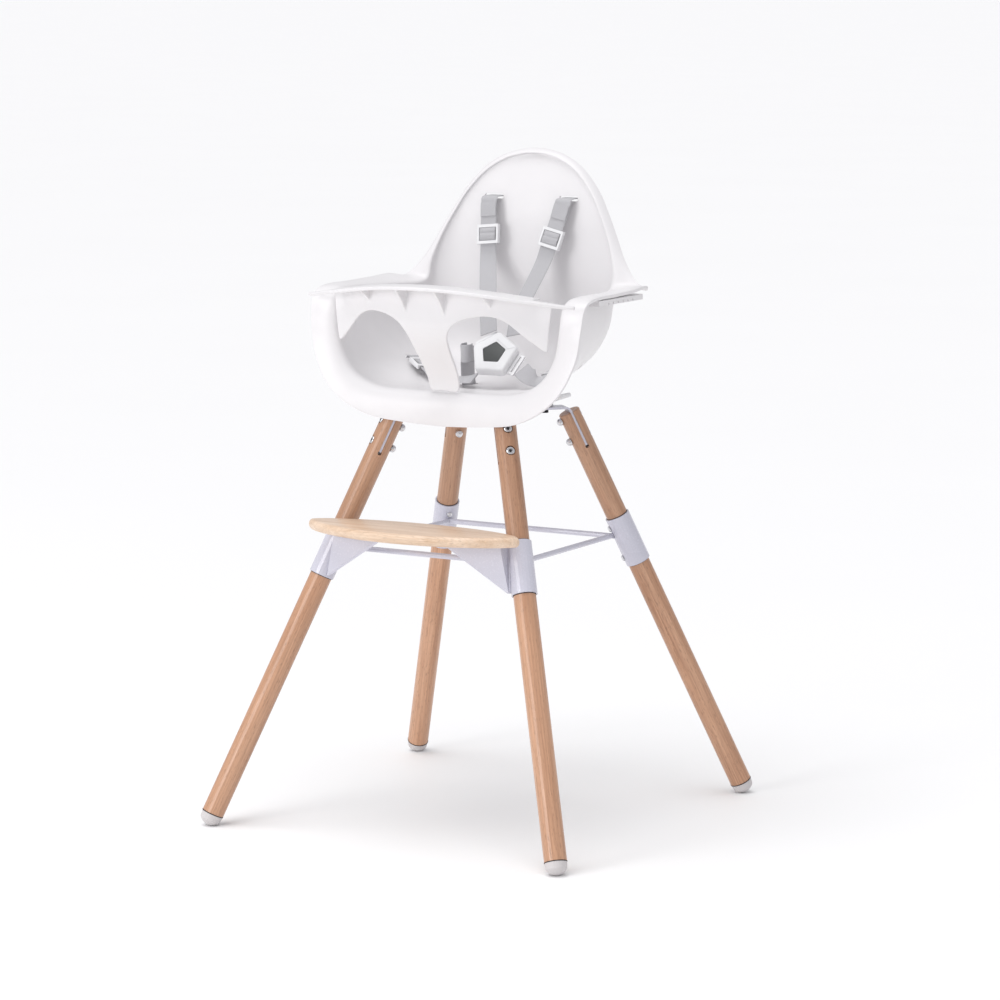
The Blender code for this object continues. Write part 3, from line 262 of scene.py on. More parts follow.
class Look:
    """A material, built a node at a time around its Principled shader."""

    def __init__(self, name):
        self.material = bpy.data.materials.new(name)
        self.material.use_nodes = True
        self.tree = self.material.node_tree
        self.shader = self.tree.nodes["Principled BSDF"]

    def set(self, **values):
        """Plain values on the shader's own sockets: coat_weight stands for Coat Weight."""
        for key, value in values.items():
            self.shader.inputs[key.replace("_", " ").title().replace("Ior", "IOR")].default_value = value

    def add(self, kind, inputs=(), **settings):
        node = self.tree.nodes.new("ShaderNode" + kind)
        for key, value in settings.items():
            setattr(node, key, value)
        for key, value in dict(inputs).items():
            if isinstance(value, bpy.types.NodeSocket):
                self.tree.links.new(value, node.inputs[key])
            else:
                node.inputs[key].default_value = value
        return node

    def feed(self, socket, output):
        self.tree.links.new(output, self.shader.inputs[socket])

    def place(self, scale=(1, 1, 1), turn=(0, 0, 0), source="Object"):
        """Coordinates in metres, turned and scaled."""
        where = self.add("TexCoord")
        return self.add("Mapping", {"Vector": where.outputs[source], "Scale": scale,
                                    "Rotation": turn}).outputs[0]

    def noise(self, vector, scale, detail=3.0, roughness=0.5):
        return self.add("TexNoise", {"Vector": vector, "Scale": scale, "Detail": detail,
                                     "Roughness": roughness}).outputs["Fac"]

    def span(self, value, low, high, out_low=0.0, out_high=1.0):
        return self.add("MapRange", {"Value": value, "From Min": low, "From Max": high,
                                     "To Min": out_low, "To Max": out_high}).outputs[0]

    def math(self, operation, a, b=0.0):
        return self.add("Math", {0: a, 1: b}, operation=operation).outputs[0]

    def blend(self, share, first, second, mode="MIX"):
        node = self.add("Mix", {0: share}, data_type="RGBA", blend_type=mode)
        for socket, value in ((node.inputs[6], first), (node.inputs[7], second)):
            if isinstance(value, bpy.types.NodeSocket):
                self.tree.links.new(value, socket)
            else:
                socket.default_value = (*value, 1.0)
        return node.outputs[2]

    def bump(self, height, distance, strength=1.0):
        node = self.add("Bump", {"Height": height, "Distance": distance, "Strength": strength})
        self.feed("Normal", node.outputs[0])


def shade(colour, factor):
    return tuple(min(channel * factor, 1.0) for channel in colour)


def moulded(name, colour, roughness, grain=0.00003, coat=0.0):
    """Moulded plastic: a faint flow pattern in its colour and a fine spark-eroded skin."""
    look = Look(name)
    where = look.place()
    flow = look.noise(where, 9.0, 2.0)
    patches = look.noise(where, 60.0, 4.0, 0.6)
    colour_mix = look.blend(look.span(flow, 0.3, 0.7), shade(colour, 0.975), shade(colour, 1.015))
    look.feed("Base Color", look.blend(look.span(patches, 0.45, 0.75, 0.0, 0.12), colour_mix,
                                       shade(colour, 0.93)))
    look.feed("Roughness", look.span(patches, 0.3, 0.7, roughness - 0.03, roughness + 0.05))
    skin = look.math("ADD", look.noise(where, 1500.0, 2.0), look.math("MULTIPLY", flow, 0.6))
    look.bump(skin, grain, 0.6)
    look.set(specular_ior_level=0.4, coat_weight=coat, coat_roughness=0.12)
    return look.material


def wood(name, pale, dark, turn, offset, streak=0.5):
    """Turned beech: long grain lines, short brown flecks and a thin satin lacquer."""
    look = Look(name)
    along = look.place(turn=turn)
    shifted = look.add("VectorMath", {0: along, 1: offset}, operation="ADD").outputs[0]

    def stretched(amount):
        return look.add("VectorMath", {0: shifted, 1: (1, 1, amount)}, operation="MULTIPLY").outputs[0]

    warp = look.noise(stretched(0.12), 26.0, 2.0)
    bands = look.noise(stretched(0.05), 85.0, 4.0, 0.65)
    lines = look.noise(stretched(0.028), 480.0, 3.0, 0.6)
    flecks = look.noise(stretched(0.16), 820.0, 1.0, 0.4)
    base = look.blend(look.span(bands, 0.34, 0.66), pale, dark)
    base = look.blend(look.span(lines, 0.46, 0.70, 0.0, streak), base, shade(dark, 0.62))
    base = look.blend(look.span(flecks, 0.60, 0.72, 0.0, streak), base, shade(dark, 0.42))
    base = look.blend(look.span(lines, 0.30, 0.42, 0.45, 0.0), base, shade(pale, 1.18))
    look.feed("Base Color", look.blend(look.span(warp, 0.3, 0.7, 0.0, 0.35), base, shade(pale, 1.10)))
    look.feed("Roughness", look.span(lines, 0.3, 0.8, 0.34, 0.50))
    look.bump(look.math("ADD", look.math("MULTIPLY", lines, 0.6), flecks), 0.00008, 0.6)
    look.set(coat_weight=0.30, coat_roughness=0.22)
    return look.material


def coated_steel(name, colour):
    """Powder-coated steel: gloss with a soft orange peel."""
    look = Look(name)
    where = look.place()
    peel = look.noise(where, 420.0, 2.0)
    broad = look.noise(where, 14.0, 2.0)
    look.feed("Base Color", look.blend(look.span(broad, 0.3, 0.7), shade(colour, 0.97), shade(colour, 1.02)))
    look.feed("Roughness", look.span(peel, 0.3, 0.7, 0.20, 0.30))
    look.bump(peel, 0.00006, 0.5)
    look.set(coat_weight=0.35, coat_roughness=0.08)
    return look.material


def plated(name, colour, roughness):
    """Plated or blackened metal with fine turning marks."""
    look = Look(name)
    stain = look.noise(look.place(), 180.0, 3.0)
    marks = look.noise(look.place(scale=(1, 1, 6)), 700.0, 2.0)
    look.feed("Base Color", look.blend(look.span(stain, 0.4, 0.8, 0.0, 0.4), colour, shade(colour, 0.7)))
    look.feed("Roughness", look.span(marks, 0.3, 0.7, roughness - 0.06, roughness + 0.10))
    look.bump(marks, 0.00003, 0.4)
    look.set(metallic=1.0)
    return look.material


def woven(name, colour):
    """Polyester webbing, from UVs in metres along and across it: ribs, cross threads and a firm edge."""
    look = Look(name)
    uv = look.add("UVMap", uv_map="web").outputs[0]
    parts = look.add("SeparateXYZ", {0: uv})
    along, across = parts.outputs[0], parts.outputs[1]
    rib = look.math("SINE", look.math("MULTIPLY", across, 2 * math.pi / WEB_RIB))
    step = look.math("MULTIPLY", look.math("SIGN", rib), math.pi / 2)
    pick = look.math("SINE", look.math("ADD", look.math("MULTIPLY", along, 2 * math.pi / WEB_PICK), step))
    weave = look.math("ADD", look.math("MULTIPLY", look.math("ABSOLUTE", rib), 0.55),
                      look.math("MULTIPLY", pick, 0.45))
    edge = look.math("ABSOLUTE", look.math("DIVIDE", across, WEB_WIDTH / 2))
    border = look.span(edge, 0.80, 0.86)
    fuzz = look.noise(look.place(), 900.0, 3.0, 0.7)
    soil = look.noise(look.place(), 35.0, 3.0)
    base = look.blend(look.span(weave, -0.4, 0.9), shade(colour, 0.80), shade(colour, 1.06))
    base = look.blend(look.span(fuzz, 0.4, 0.8, 0.0, 0.25), base, shade(colour, 0.86))
    base = look.blend(look.span(soil, 0.45, 0.8, 0.0, 0.15), base, shade(colour, 0.82))
    look.feed("Base Color", look.blend(look.math("MULTIPLY", border, 0.35), base, shade(colour, 0.88)))
    look.feed("Roughness", look.span(fuzz, 0.2, 0.8, 0.68, 0.86))
    look.bump(look.math("ADD", weave, look.math("MULTIPLY", fuzz, 0.5)), 0.00022, 0.7)
    look.set(sheen_weight=0.25, sheen_roughness=0.5)
    return look.material


def thread_look():
    look = Look("sewing_thread")
    ply = look.noise(look.place(), 3000.0, 2.0)
    look.feed("Base Color", look.blend(ply, (0.42, 0.42, 0.44), (0.60, 0.60, 0.62)))
    look.feed("Roughness", look.span(ply, 0.2, 0.8, 0.6, 0.8))
    look.bump(ply, 0.0001, 0.5)
    return look.material


def floor_look():
    look = Look("floor_paper")
    where = look.place()
    fibre = look.noise(where, 260.0, 3.0)
    look.feed("Base Color", look.blend(look.noise(where, 1.2, 2.0), (0.93, 0.93, 0.93), (0.95, 0.95, 0.95)))
    look.feed("Roughness", look.span(fibre, 0.3, 0.7, 0.55, 0.65))
    look.bump(fibre, 0.00005, 0.3)
    return look.material


# Mesh helpers -------------------------------------------------------------------------------------


def from_bmesh(name, shape):
    mesh = bpy.data.meshes.new(name)
    shape.to_mesh(mesh)
    shape.free()
    return mesh


def put(name, mesh, material=None, matrix=None, sharp=35):
    obj = bpy.data.objects.new(name, mesh)
    obj.matrix_world = matrix or Matrix()
    bpy.context.scene.collection.objects.link(obj)
    if material:
        mesh.materials.clear()
        mesh.materials.append(material)
    mesh.shade_smooth()
    mesh.set_sharp_from_angle(angle=math.radians(sharp))
    return obj


def apply_modifiers(obj, sharp=35):
    """The evaluated mesh becomes the object's own."""
    bpy.context.view_layer.update()
    graph = bpy.context.evaluated_depsgraph_get()
    mesh = bpy.data.meshes.new_from_object(obj.evaluated_get(graph), depsgraph=graph)
    old = obj.data
    obj.modifiers.clear()
    obj.data = mesh
    bpy.data.meshes.remove(old)
    mesh.shade_smooth()
    mesh.set_sharp_from_angle(angle=math.radians(sharp))
    return obj


def drop(obj):
    mesh = obj.data
    bpy.data.objects.remove(obj)
    bpy.data.meshes.remove(mesh)


def boolean(obj, others, operation="DIFFERENCE"):
    for other in others:
        modifier = obj.modifiers.new(other.name, "BOOLEAN")
        modifier.operation = operation
        modifier.object = other
        modifier.solver = "EXACT"
    apply_modifiers(obj)
    for other in others:
        drop(other)


def bevel(obj, width, segments=3, angle=35):
    modifier = obj.modifiers.new("rounding", "BEVEL")
    modifier.width = width
    modifier.segments = segments
    modifier.limit_method = "ANGLE"
    modifier.angle_limit = math.radians(angle)


def grid_mesh(name, rows):
    """An open surface through rows of points. Points that coincide are made one."""
    shape = bmesh.new()
    lines = [[shape.verts.new(point) for point in row] for row in rows]
    for low, high in zip(lines, lines[1:]):
        for k in range(len(low) - 1):
            shape.faces.new((low[k], low[k + 1], high[k + 1], high[k]))
    bmesh.ops.remove_doubles(shape, verts=shape.verts, dist=1e-6)
    bmesh.ops.dissolve_degenerate(shape, edges=shape.edges, dist=1e-7)
    bmesh.ops.recalc_face_normals(shape, faces=shape.faces)
    return from_bmesh(name, shape)


def box_mesh(name, low, high):
    shape = bmesh.new()
    size = Vector(high) - Vector(low)
    place = Matrix.Translation((Vector(high) + Vector(low)) / 2) @ Matrix.Diagonal((*size, 1))
    bmesh.ops.create_cube(shape, size=1, matrix=place)
    return from_bmesh(name, shape)


def prism_mesh(name, outline, low, high):
    """A flat outline in X and Y, raised between two heights."""
    shape = bmesh.new()
    base = [shape.verts.new((x, y, low)) for x, y in outline]
    top = [shape.verts.new((x, y, high)) for x, y in outline]
    shape.faces.new(list(reversed(base)))
    shape.faces.new(top)
    for k in range(len(base)):
        after = (k + 1) % len(base)
        shape.faces.new((base[k], base[after], top[after], top[k]))
    bmesh.ops.recalc_face_normals(shape, faces=shape.faces)
    return from_bmesh(name, shape)


def smooth(points, steps):
    """A Catmull-Rom curve through the points, with steps pieces between each pair."""
    ends = [2 * points[0] - points[1], *points, 2 * points[-1] - points[-2]]
    out = []
    for a, b, c, d in zip(ends, ends[1:], ends[2:], ends[3:]):
        for k in range(steps):
            t = k / steps
            out.append(0.5 * (2 * b + (c - a) * t + (2 * a - 5 * b + 4 * c - d) * t * t
                              + (3 * b - a - 3 * c + d) * t ** 3))
    return [*out, points[-1]]


def joined(name, pieces):
    """One mesh of closed pieces that still run through one another. It removes the pieces."""
    shape = bmesh.new()
    for piece in pieces:
        mesh = piece.data.copy()
        mesh.transform(piece.matrix_world)
        shape.from_mesh(mesh)
        bpy.data.meshes.remove(mesh)
        drop(piece)
    bmesh.ops.recalc_face_normals(shape, faces=shape.faces)
    return from_bmesh(name, shape)


def mirror_x(obj):
    modifier = obj.modifiers.new("mirror", "MIRROR")
    modifier.use_clip = True
    modifier.merge_threshold = 0.00001


def solidify(obj, thickness, offset):
    modifier = obj.modifiers.new("wall", "SOLIDIFY")
    modifier.thickness = thickness
    modifier.offset = offset
    modifier.use_even_offset = True


# Seat shell ---------------------------------------------------------------------------------------


def seat_y(share):
    return FRONT_Y + share * (BACK_Y - FRONT_Y)


def seat_z(code):
    if code <= 1:
        return FLOOR_Z + code * (RIM_Z - FLOOR_Z)
    return RIM_Z + (code - 1) * (TOP_Z - RIM_Z)


def cross_point(spine, edge, share):
    angle = share * math.pi / 2
    side = math.sin(angle) ** (2 / FULLNESS)
    rise = 1 - math.cos(angle) ** (2 / FULLNESS)
    return Vector((edge.x * side, spine.y + (edge.y - spine.y) * rise,
                   spine.z + (edge.z - spine.z) * rise))


def lip_point(edge, ahead, out, lip, share):
    width, rise, drop_back = lip
    first = 3 * share * (1 - share) ** 2
    second = 3 * share ** 2 * (1 - share)
    last = share ** 3
    return (edge + out * width * (0.45 * second + last)
            + ahead * (rise * (first + second + last) - drop_back * last))


def shell_rows(steps, cross_steps, lip_steps):
    edges = smooth([Vector((s[0] * SEAT_HALF, seat_y(s[1]), seat_z(s[2]))) for s in STATIONS], steps)
    spines = smooth([Vector((0, seat_y(s[3]), seat_z(s[4]))) for s in STATIONS], steps)
    lips = smooth([Vector(s[5:]) for s in STATIONS], steps)
    rows = []
    last = len(edges) - 1
    for k, (edge, spine, lip) in enumerate(zip(edges, spines, lips)):
        path = (edges[min(k + 1, last)] - edges[max(k - 1, 0)]).normalized()
        ahead = edge - spine
        ahead.x = 0
        if k in (0, last):
            path = Vector((1 if k == 0 else -1, 0, 0))
            ahead = Vector((0, -1, 0))
        ahead = (ahead - path * ahead.dot(path)).normalized()
        out = path.cross(ahead).normalized()
        inner = [cross_point(spine, edge, i / cross_steps) for i in range(cross_steps + 1)]
        rows.append(inner + [lip_point(edge, ahead, out, lip, i / lip_steps)
                             for i in range(1, lip_steps + 1)])
    return rows


def route_frame(route, index, share, across):
    """X across the strap, Y back up it, Z out of its front."""
    a, b = Vector(route[index]), Vector(route[index + 1])
    up = (a - b).normalized()
    wide = (across - up * across.dot(up)).normalized()
    turn = Matrix((wide, up, wide.cross(up))).transposed().to_4x4()
    return Matrix.Translation(a.lerp(b, share)) @ turn


def slot_cutter(route, across):
    half = Vector((STRAP_SLOT[0], SLOT_REACH, STRAP_SLOT[1])) / 2
    cutter = put("slot", box_mesh("slot", -half, half),
                 matrix=route_frame(route, 0, 0.5, Vector(across[0])))
    bevel(cutter, SLOT_ROUND, 4)
    return apply_modifiers(cutter)


def make_shell(material):
    shell = put("shell_moulding", grid_mesh("shell", shell_rows(*SHELL_STEPS)), material, sharp=60)
    mirror_x(shell)
    solidify(shell, WALL, -1)
    bevel(shell, SHELL_ROUND, 3, 50)
    cutters = [slot_cutter(CROTCH_ROUTE, CROTCH_ACROSS)]
    for name in SIDES:
        cutters.append(slot_cutter(SHOULDER_ROUTE[name], SHOULDER_ACROSS))
        cutters.append(slot_cutter(WAIST_ROUTE[name], WAIST_ACROSS[name]))
    boolean(shell, cutters)
    shell.data.set_sharp_from_angle(angle=math.radians(48))
    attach(shell, "chair")
    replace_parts(shell, "seat_shell")


# Front bumper -------------------------------------------------------------------------------------


def panel_y(x, z):
    share = min(max((z - PANEL_FOOT_Z) / (PANEL_FULL_Z - PANEL_FOOT_Z), 0), 1)
    share = share * share * (3 - 2 * share)
    return PANEL_END_Y - PANEL_BULGE * (1 - (x / PANEL_HALF) ** 2) * share


def bar_z(x):
    return BAR_END_Z + BAR_RISE * max(1 - (x / BAR_HALF) ** 2, 0) ** 1.25


def bar_front_y(x):
    return BAR_END_Y - BAR_BULGE * (1 - (x / BAR_HALF) ** 2)


def bar_back_y(x):
    near_panel = max(panel_y(x, bar_z(x)) + 0.008, bar_front_y(x) + BAR_END_DEPTH)
    near_end = bar_front_y(x) + BAR_END_DEPTH + (BAR_HALF - x) * 0.12
    return near_panel if x < 0.15 else near_end


def panel_rows(steps, rows_up):
    edge = smooth([Vector(p) for p in PANEL_EDGE], steps)
    rows = []
    for k in range(rows_up + 1):
        share = k / rows_up
        row = []
        for x_low, z_low, x_high in edge:
            x = x_low + (x_high - x_low) * share
            z = z_low + (bar_z(x_high) - z_low) * share
            row.append(Vector((x, panel_y(x, z), z)))
        rows.append(row)
    return rows


def bar_rows(columns, across):
    rows = []
    for k in range(columns + 1):
        x = BAR_HALF * k / columns
        back, front = bar_back_y(x), bar_front_y(x)
        rows.append([Vector((x, back + (front - back) * j / across,
                             bar_z(x) + BAR_CROWN * math.sin(math.pi * j / across)))
                     for j in range(across + 1)])
    return rows


def fin_outline(x, height):
    top = bar_z(x) - BAR_THICK * 0.3
    foot = bar_z(x) - height
    back = panel_y(x, top) + BUMPER_WALL * 0.3
    start = panel_y(x, foot) - BUMPER_WALL * 0.45
    front = bar_front_y(x) + 0.0045
    curve = [(start + (front - panel_y(x, foot)) * (k / FIN_STEPS) ** 1.5,
              foot + (top - foot) * k / FIN_STEPS) for k in range(FIN_STEPS + 1)]
    return [(back, top), (back, foot), *curve]


def make_bumper(material):
    panel = put("panel", grid_mesh("panel", panel_rows(*BUMPER_STEPS[:2])))
    mirror_x(panel)
    solidify(panel, BUMPER_WALL, 0)
    bar = put("bar", grid_mesh("bar", bar_rows(*BUMPER_STEPS[2:])))
    mirror_x(bar)
    solidify(bar, BAR_THICK, 0)
    pieces = [apply_modifiers(panel), apply_modifiers(bar)]
    stand = Matrix(((0, 0, 1, 0), (1, 0, 0, 0), (0, 1, 0, 0), (0, 0, 0, 1)))
    for x, height in FINS:
        for side in SIDES.values():
            mesh = prism_mesh("fin", fin_outline(x, height), -FIN_THICK / 2, FIN_THICK / 2)
            pieces.append(put("fin", mesh, matrix=Matrix.Translation((side * x, 0, 0)) @ stand))
    bumper = put("bumper_moulding", joined("bumper", pieces), material)
    remesh = bumper.modifiers.new("voxels", "REMESH")
    remesh.mode = "VOXEL"
    remesh.voxel_size = BUMPER_VOXEL
    relax = bumper.modifiers.new("fillets", "SMOOTH")
    relax.factor = 0.5
    relax.iterations = BUMPER_RELAX
    apply_modifiers(bumper, 75)
    bumper.data.materials.clear()
    bumper.data.materials.append(material)
    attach(bumper, "front_bumper")
    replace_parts(bumper, "front_bumper")


# Harness ------------------------------------------------------------------------------------------


def late_turn(share):
    return share ** WEB_TURN


def early_turn(share):
    """For the right waist strap: its face has come round before it leaves its slide."""
    low, high = WAIST_TURN
    share = min(max((share - low) / (high - low), 0), 1)
    return share * share * (3 - 2 * share)


def strap_rows(route, across, steps, turn=late_turn):
    """Point, direction across, direction out of the face and length so far, along a strap."""
    points = smooth([Vector(p) for p in route], steps)
    rows, length = [], 0.0
    for k, point in enumerate(points):
        share = turn(k / (len(points) - 1))
        wide = Vector(across[0]).lerp(Vector(across[1]), share)
        path = (points[min(k + 1, len(points) - 1)] - points[max(k - 1, 0)]).normalized()
        wide = (wide - path * wide.dot(path)).normalized()
        if k:
            length += (point - points[k - 1]).length
        rows.append((point, wide, path.cross(wide).normalized(), length))
    return rows


def band_mesh(name, rows, width=WEB_WIDTH):
    """A closed band with round edges, and UVs in metres for the weave."""
    half, thick = width / 2, WEB_THICK / 2
    section = [(-half, 0), (-half + 0.0004, thick * 0.8), (-half + 0.0012, thick)]
    section += [(half * f, thick * (1 - 0.06 * math.cos(9 * f))) for f in (-0.6, -0.3, 0, 0.3, 0.6)]
    section += [(-x, y) for x, y in reversed(section[:3])]
    ring = section + [(x, -y) for x, y in reversed(section[1:-1])]
    shape = bmesh.new()
    uv = shape.loops.layers.uv.new("web")
    loops, spots = [], {}
    for point, wide, front, length in rows:
        line = []
        for x, y in ring:
            vertex = shape.verts.new(point + wide * x + front * y)
            spots[vertex] = (length, x)
            line.append(vertex)
        loops.append(line)
    count = len(ring)
    for low, high in zip(loops, loops[1:]):
        for k in range(count):
            after = (k + 1) % count
            shape.faces.new((low[k], low[after], high[after], high[k]))
    shape.faces.new(loops[0])
    shape.faces.new(list(reversed(loops[-1])))
    bmesh.ops.recalc_face_normals(shape, faces=shape.faces)
    for face in shape.faces:
        for loop in face.loops:
            loop[uv].uv = spots[loop.vert]
    return from_bmesh(name, shape)


def put_band(name, rows, material, body="chair", width=WEB_WIDTH):
    band = put(name, band_mesh(name, rows, width), material, sharp=50)
    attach(band, body)
    return band


def make_strap(name, rows, material):
    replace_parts(put_band(name + "_webbing", rows, material), name)


def make_hem(name, rows, material):
    """Where the webbing is doubled and sewn below its slot: a second layer and a row of stitches."""
    low, high = HEM_Z
    layer = [(point + front * WEB_THICK * 1.05, wide, front, length)
             for point, wide, front, length in rows if low < point.z < high and point.y < HEM_BACK_Y]
    put_band(name + "_hem", layer, material, width=WEB_WIDTH - HEM_INSET)
    point, wide, front, _ = layer[-3]
    shape = bmesh.new()
    for k in range(STITCHES):
        spread = WEB_WIDTH * STITCH_SPREAD * (k / (STITCHES - 1) - 0.5)
        at = point + wide * spread + front * WEB_THICK / 2
        turn = Matrix((wide, front.cross(wide), front)).transposed().to_4x4()
        size = Matrix.Diagonal((*STITCH, 1))
        bmesh.ops.create_icosphere(shape, subdivisions=1, radius=0.5,
                                   matrix=Matrix.Translation(at) @ turn @ size)
    thread = put(name + "_stitches", from_bmesh("stitches", shape), thread_look())
    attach(thread, "chair")


def make_fold(name, place, material):
    """The webbing where it rises between a slide's two front bars, over the bar behind."""
    half = ADJUSTER[1] / 2 - ADJUSTER_BAR
    rows = []
    across, out = (place.to_3x3() @ axis for axis in (Vector((1, 0, 0)), Vector((0, 0, 1))))
    depth, middle, width = FOLD_DIP
    for k in range(FOLD_STEPS + 1):
        share = 2 * k / FOLD_STEPS - 1
        crease = depth * math.exp(-((share - middle) / width) ** 2)
        rise = FOLD_RISE * (math.sqrt(max(1 - share * share, 0)) - crease)
        point = place @ Vector((0, share * (half - 0.0002), WEB_THICK + rise))
        rows.append((point, across, out, k * 2 * half / FOLD_STEPS))
    put_band(name + "_fold", rows, material, name)


def make_crotch_loop(material):
    """The webbing between the legs: a strap through the floor, with its end curled round on itself."""
    rows = strap_rows(CROTCH_ROUTE, CROTCH_ACROSS, WEB_STEPS)
    make_strap("crotch_strap", rows, material)
    axis = Vector(CURL_AXIS).normalized()
    side = (Vector((0, 0, 1)).cross(Vector(CURL_OUT))).normalized()
    side = (side - axis * side.dot(axis)).normalized()
    out = side.cross(axis)
    if out.dot(Vector(CURL_OUT)) < 0:
        out = -out
    curl = []
    first, last = (math.radians(angle) for angle in CURL_SPAN)
    for k in range(CURL_STEPS + 1):
        angle = first + (last - first) * k / CURL_STEPS
        radius = CURL_RADIUS * (1 + CURL_OVAL * math.cos(2 * angle))
        normal = out * math.cos(angle) + side * math.sin(angle)
        curl.append((Vector(CURL_AT) + normal * radius, axis, normal, CURL_RADIUS * (angle - first)))
    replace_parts(put_band("crotch_curl", curl, material), "crotch_strap")


def make_adjuster(name, place, material):
    """A slide with soft edges. The webbing runs behind its two front bars and over its back bar."""
    width, height, depth = ADJUSTER
    lane = WEB_THICK / 2 + ADJUSTER_LANE
    outer, inner = width / 2, width / 2 - ADJUSTER_SIDE
    pieces = []
    for side in (-1, 1):
        xs = sorted((side * outer, side * inner))
        pieces.append(put("side", box_mesh("side", (xs[0], -height / 2, -depth / 2),
                                           (xs[1], height / 2, depth / 2)), matrix=place))
    reach = outer - ADJUSTER_SIDE / 2
    for y in (-height / 2 + ADJUSTER_BAR / 2, height / 2 - ADJUSTER_BAR / 2):
        pieces.append(put("bar", box_mesh("bar", (-reach, y - ADJUSTER_BAR / 2, lane),
                                          (reach, y + ADJUSTER_BAR / 2, depth / 2)), matrix=place))
    pieces.append(put("back", box_mesh("back", (-reach, -ADJUSTER_BAR / 2, -depth / 2),
                                       (reach, ADJUSTER_BAR / 2, -lane)), matrix=place))
    adjuster = put(name + "_slide", pieces[0].data.copy(), material, place)
    drop(pieces[0])
    boolean(adjuster, pieces[1:], "UNION")
    bevel(adjuster, ADJUSTER_ROUND, 3, 40)
    apply_modifiers(adjuster, 50)
    adjuster.data.materials.clear()
    adjuster.data.materials.append(material)
    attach(adjuster, name)
    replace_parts(adjuster, name)


def pentagon(radius, corner, steps=5):
    """An outline with five corners, one up, each rounded."""
    points = []
    for k in range(5):
        angle = math.radians(90 + 72 * k)
        tip = Vector((math.cos(angle), math.sin(angle))) * (radius - corner / math.cos(math.radians(36)))
        for j in range(steps + 1):
            turn = angle + math.radians(72 * (j / steps - 0.5))
            points.append(tuple(tip + Vector((math.cos(turn), math.sin(turn))) * corner))
    return points


def buckle_place():
    level = Vector((math.sin(BUCKLE_TURN), -math.cos(BUCKLE_TURN), 0))
    face = level * math.cos(BUCKLE_TILT) + Vector((0, 0, math.sin(BUCKLE_TILT)))
    up = (Vector((0, 0, 1)) - face * face.z).normalized()
    turn = Matrix((up.cross(face), up, face)).transposed().to_4x4()
    return Matrix.Translation(BUCKLE_AT) @ turn


def grooves(place, half):
    """Two fine parting lines on the face: one to the right corner, one beside the button."""
    found = []
    width, depth = GROOVE
    for angle, near, far, aside in GROOVES:
        turn = place @ Matrix.Rotation(math.radians(angle), 4, "Z")
        mesh = box_mesh("groove", (near, aside - width / 2, half - depth),
                        (far, aside + width / 2, half + 0.002))
        found.append(put("groove", mesh, matrix=turn))
    return found


def pentagon_prism(name, radius, corner, low, high, place, material=None):
    return put(name, prism_mesh(name, pentagon(radius, corner), low, high), material, place)


def make_buckle(shell_look, button_look):
    place = buckle_place()
    half = BUCKLE_THICK / 2
    body = pentagon_prism("buckle_case", BUCKLE_RADIUS, BUCKLE_CORNER, -half, half, place, shell_look)
    bevel(body, BUCKLE_ROUND, 5, 50)
    apply_modifiers(body)
    floor = half - BUTTON_THICK - BUTTON_TRAVEL - BUTTON_REST
    well = pentagon_prism("well", BUTTON_RADIUS + BUTTON_CLEAR, BUTTON_CORNER, floor,
                          half + CUT_PAST, place)
    low, high, depth = SEAM
    seam = pentagon_prism("seam", BUCKLE_RADIUS + 0.003, BUCKLE_CORNER, low, high, place)
    core = pentagon_prism("core", BUCKLE_RADIUS - depth, BUCKLE_CORNER, -CUT_PAST, CUT_PAST, place)
    boolean(seam, [core])
    boolean(body, [well, seam, *grooves(place, half)])
    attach(body, "chair")
    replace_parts(body, "buckle_body")
    button = pentagon_prism("buckle_press", BUTTON_RADIUS, BUTTON_CORNER, half - BUTTON_THICK, half,
                            place, button_look)
    bevel(button, BUTTON_ROUND, 3, 50)
    apply_modifiers(button)
    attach(button, "buckle_button")
    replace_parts(button, "buckle_button")


def make_harness(looks):
    web, clip = looks["webbing"], looks["clip_white"]
    turns = {"left": late_turn, "right": early_turn}
    for name in SIDES:
        rows = strap_rows(SHOULDER_ROUTE[name], SHOULDER_ACROSS, WEB_STEPS)
        make_strap("shoulder_strap_" + name, rows, web)
        make_hem("shoulder_strap_" + name, rows, web)
        place = route_frame(SHOULDER_ROUTE[name], 4, 0.5, Vector(SHOULDER_ACROSS[0]))
        make_adjuster("shoulder_adjuster_" + name, place, clip)
        make_fold("shoulder_adjuster_" + name, place, web)
        rows = strap_rows(WAIST_ROUTE[name], WAIST_ACROSS[name], WEB_STEPS, turns[name])
        make_strap("waist_strap_" + name, rows, web)
        place = route_frame(WAIST_ROUTE[name], 3, 0, Vector(WAIST_ACROSS[name][0]))
        make_adjuster("waist_adjuster_" + name, place, clip)
        make_fold("waist_adjuster_" + name, place, web)
    make_crotch_loop(web)
    make_buckle(looks["clip_white"], looks["button_grey"])


# Stage --------------------------------------------------------------------------------------------


def make_stage():
    """A pale floor that runs on past the picture, an even room, a light overhead and a soft lamp in front."""
    mesh = box_mesh("floor", (-FLOOR_HALF, -FLOOR_HALF, -FLOOR_THICK), (FLOOR_HALF, FLOOR_HALF, 0))
    floor = put("floor", mesh, floor_look())
    world = bpy.data.worlds.new("studio")
    world.use_nodes = True
    background = world.node_tree.nodes["Background"]
    background.inputs["Color"].default_value = (*WORLD_COLOUR, 1.0)
    background.inputs["Strength"].default_value = WORLD_STRENGTH
    bpy.context.scene.world = world
    strength, angle, direction = SKY
    data = bpy.data.lights.new("overhead", "SUN")
    data.energy = strength
    data.angle = math.radians(angle)
    put_light("overhead", data, direction, (0, 0, 0))
    for name, at, size, power, target in LAMPS:
        data = bpy.data.lights.new(name, "AREA")
        data.shape = "DISK"
        data.size = size
        data.energy = power
        put_light(name, data, at, target)


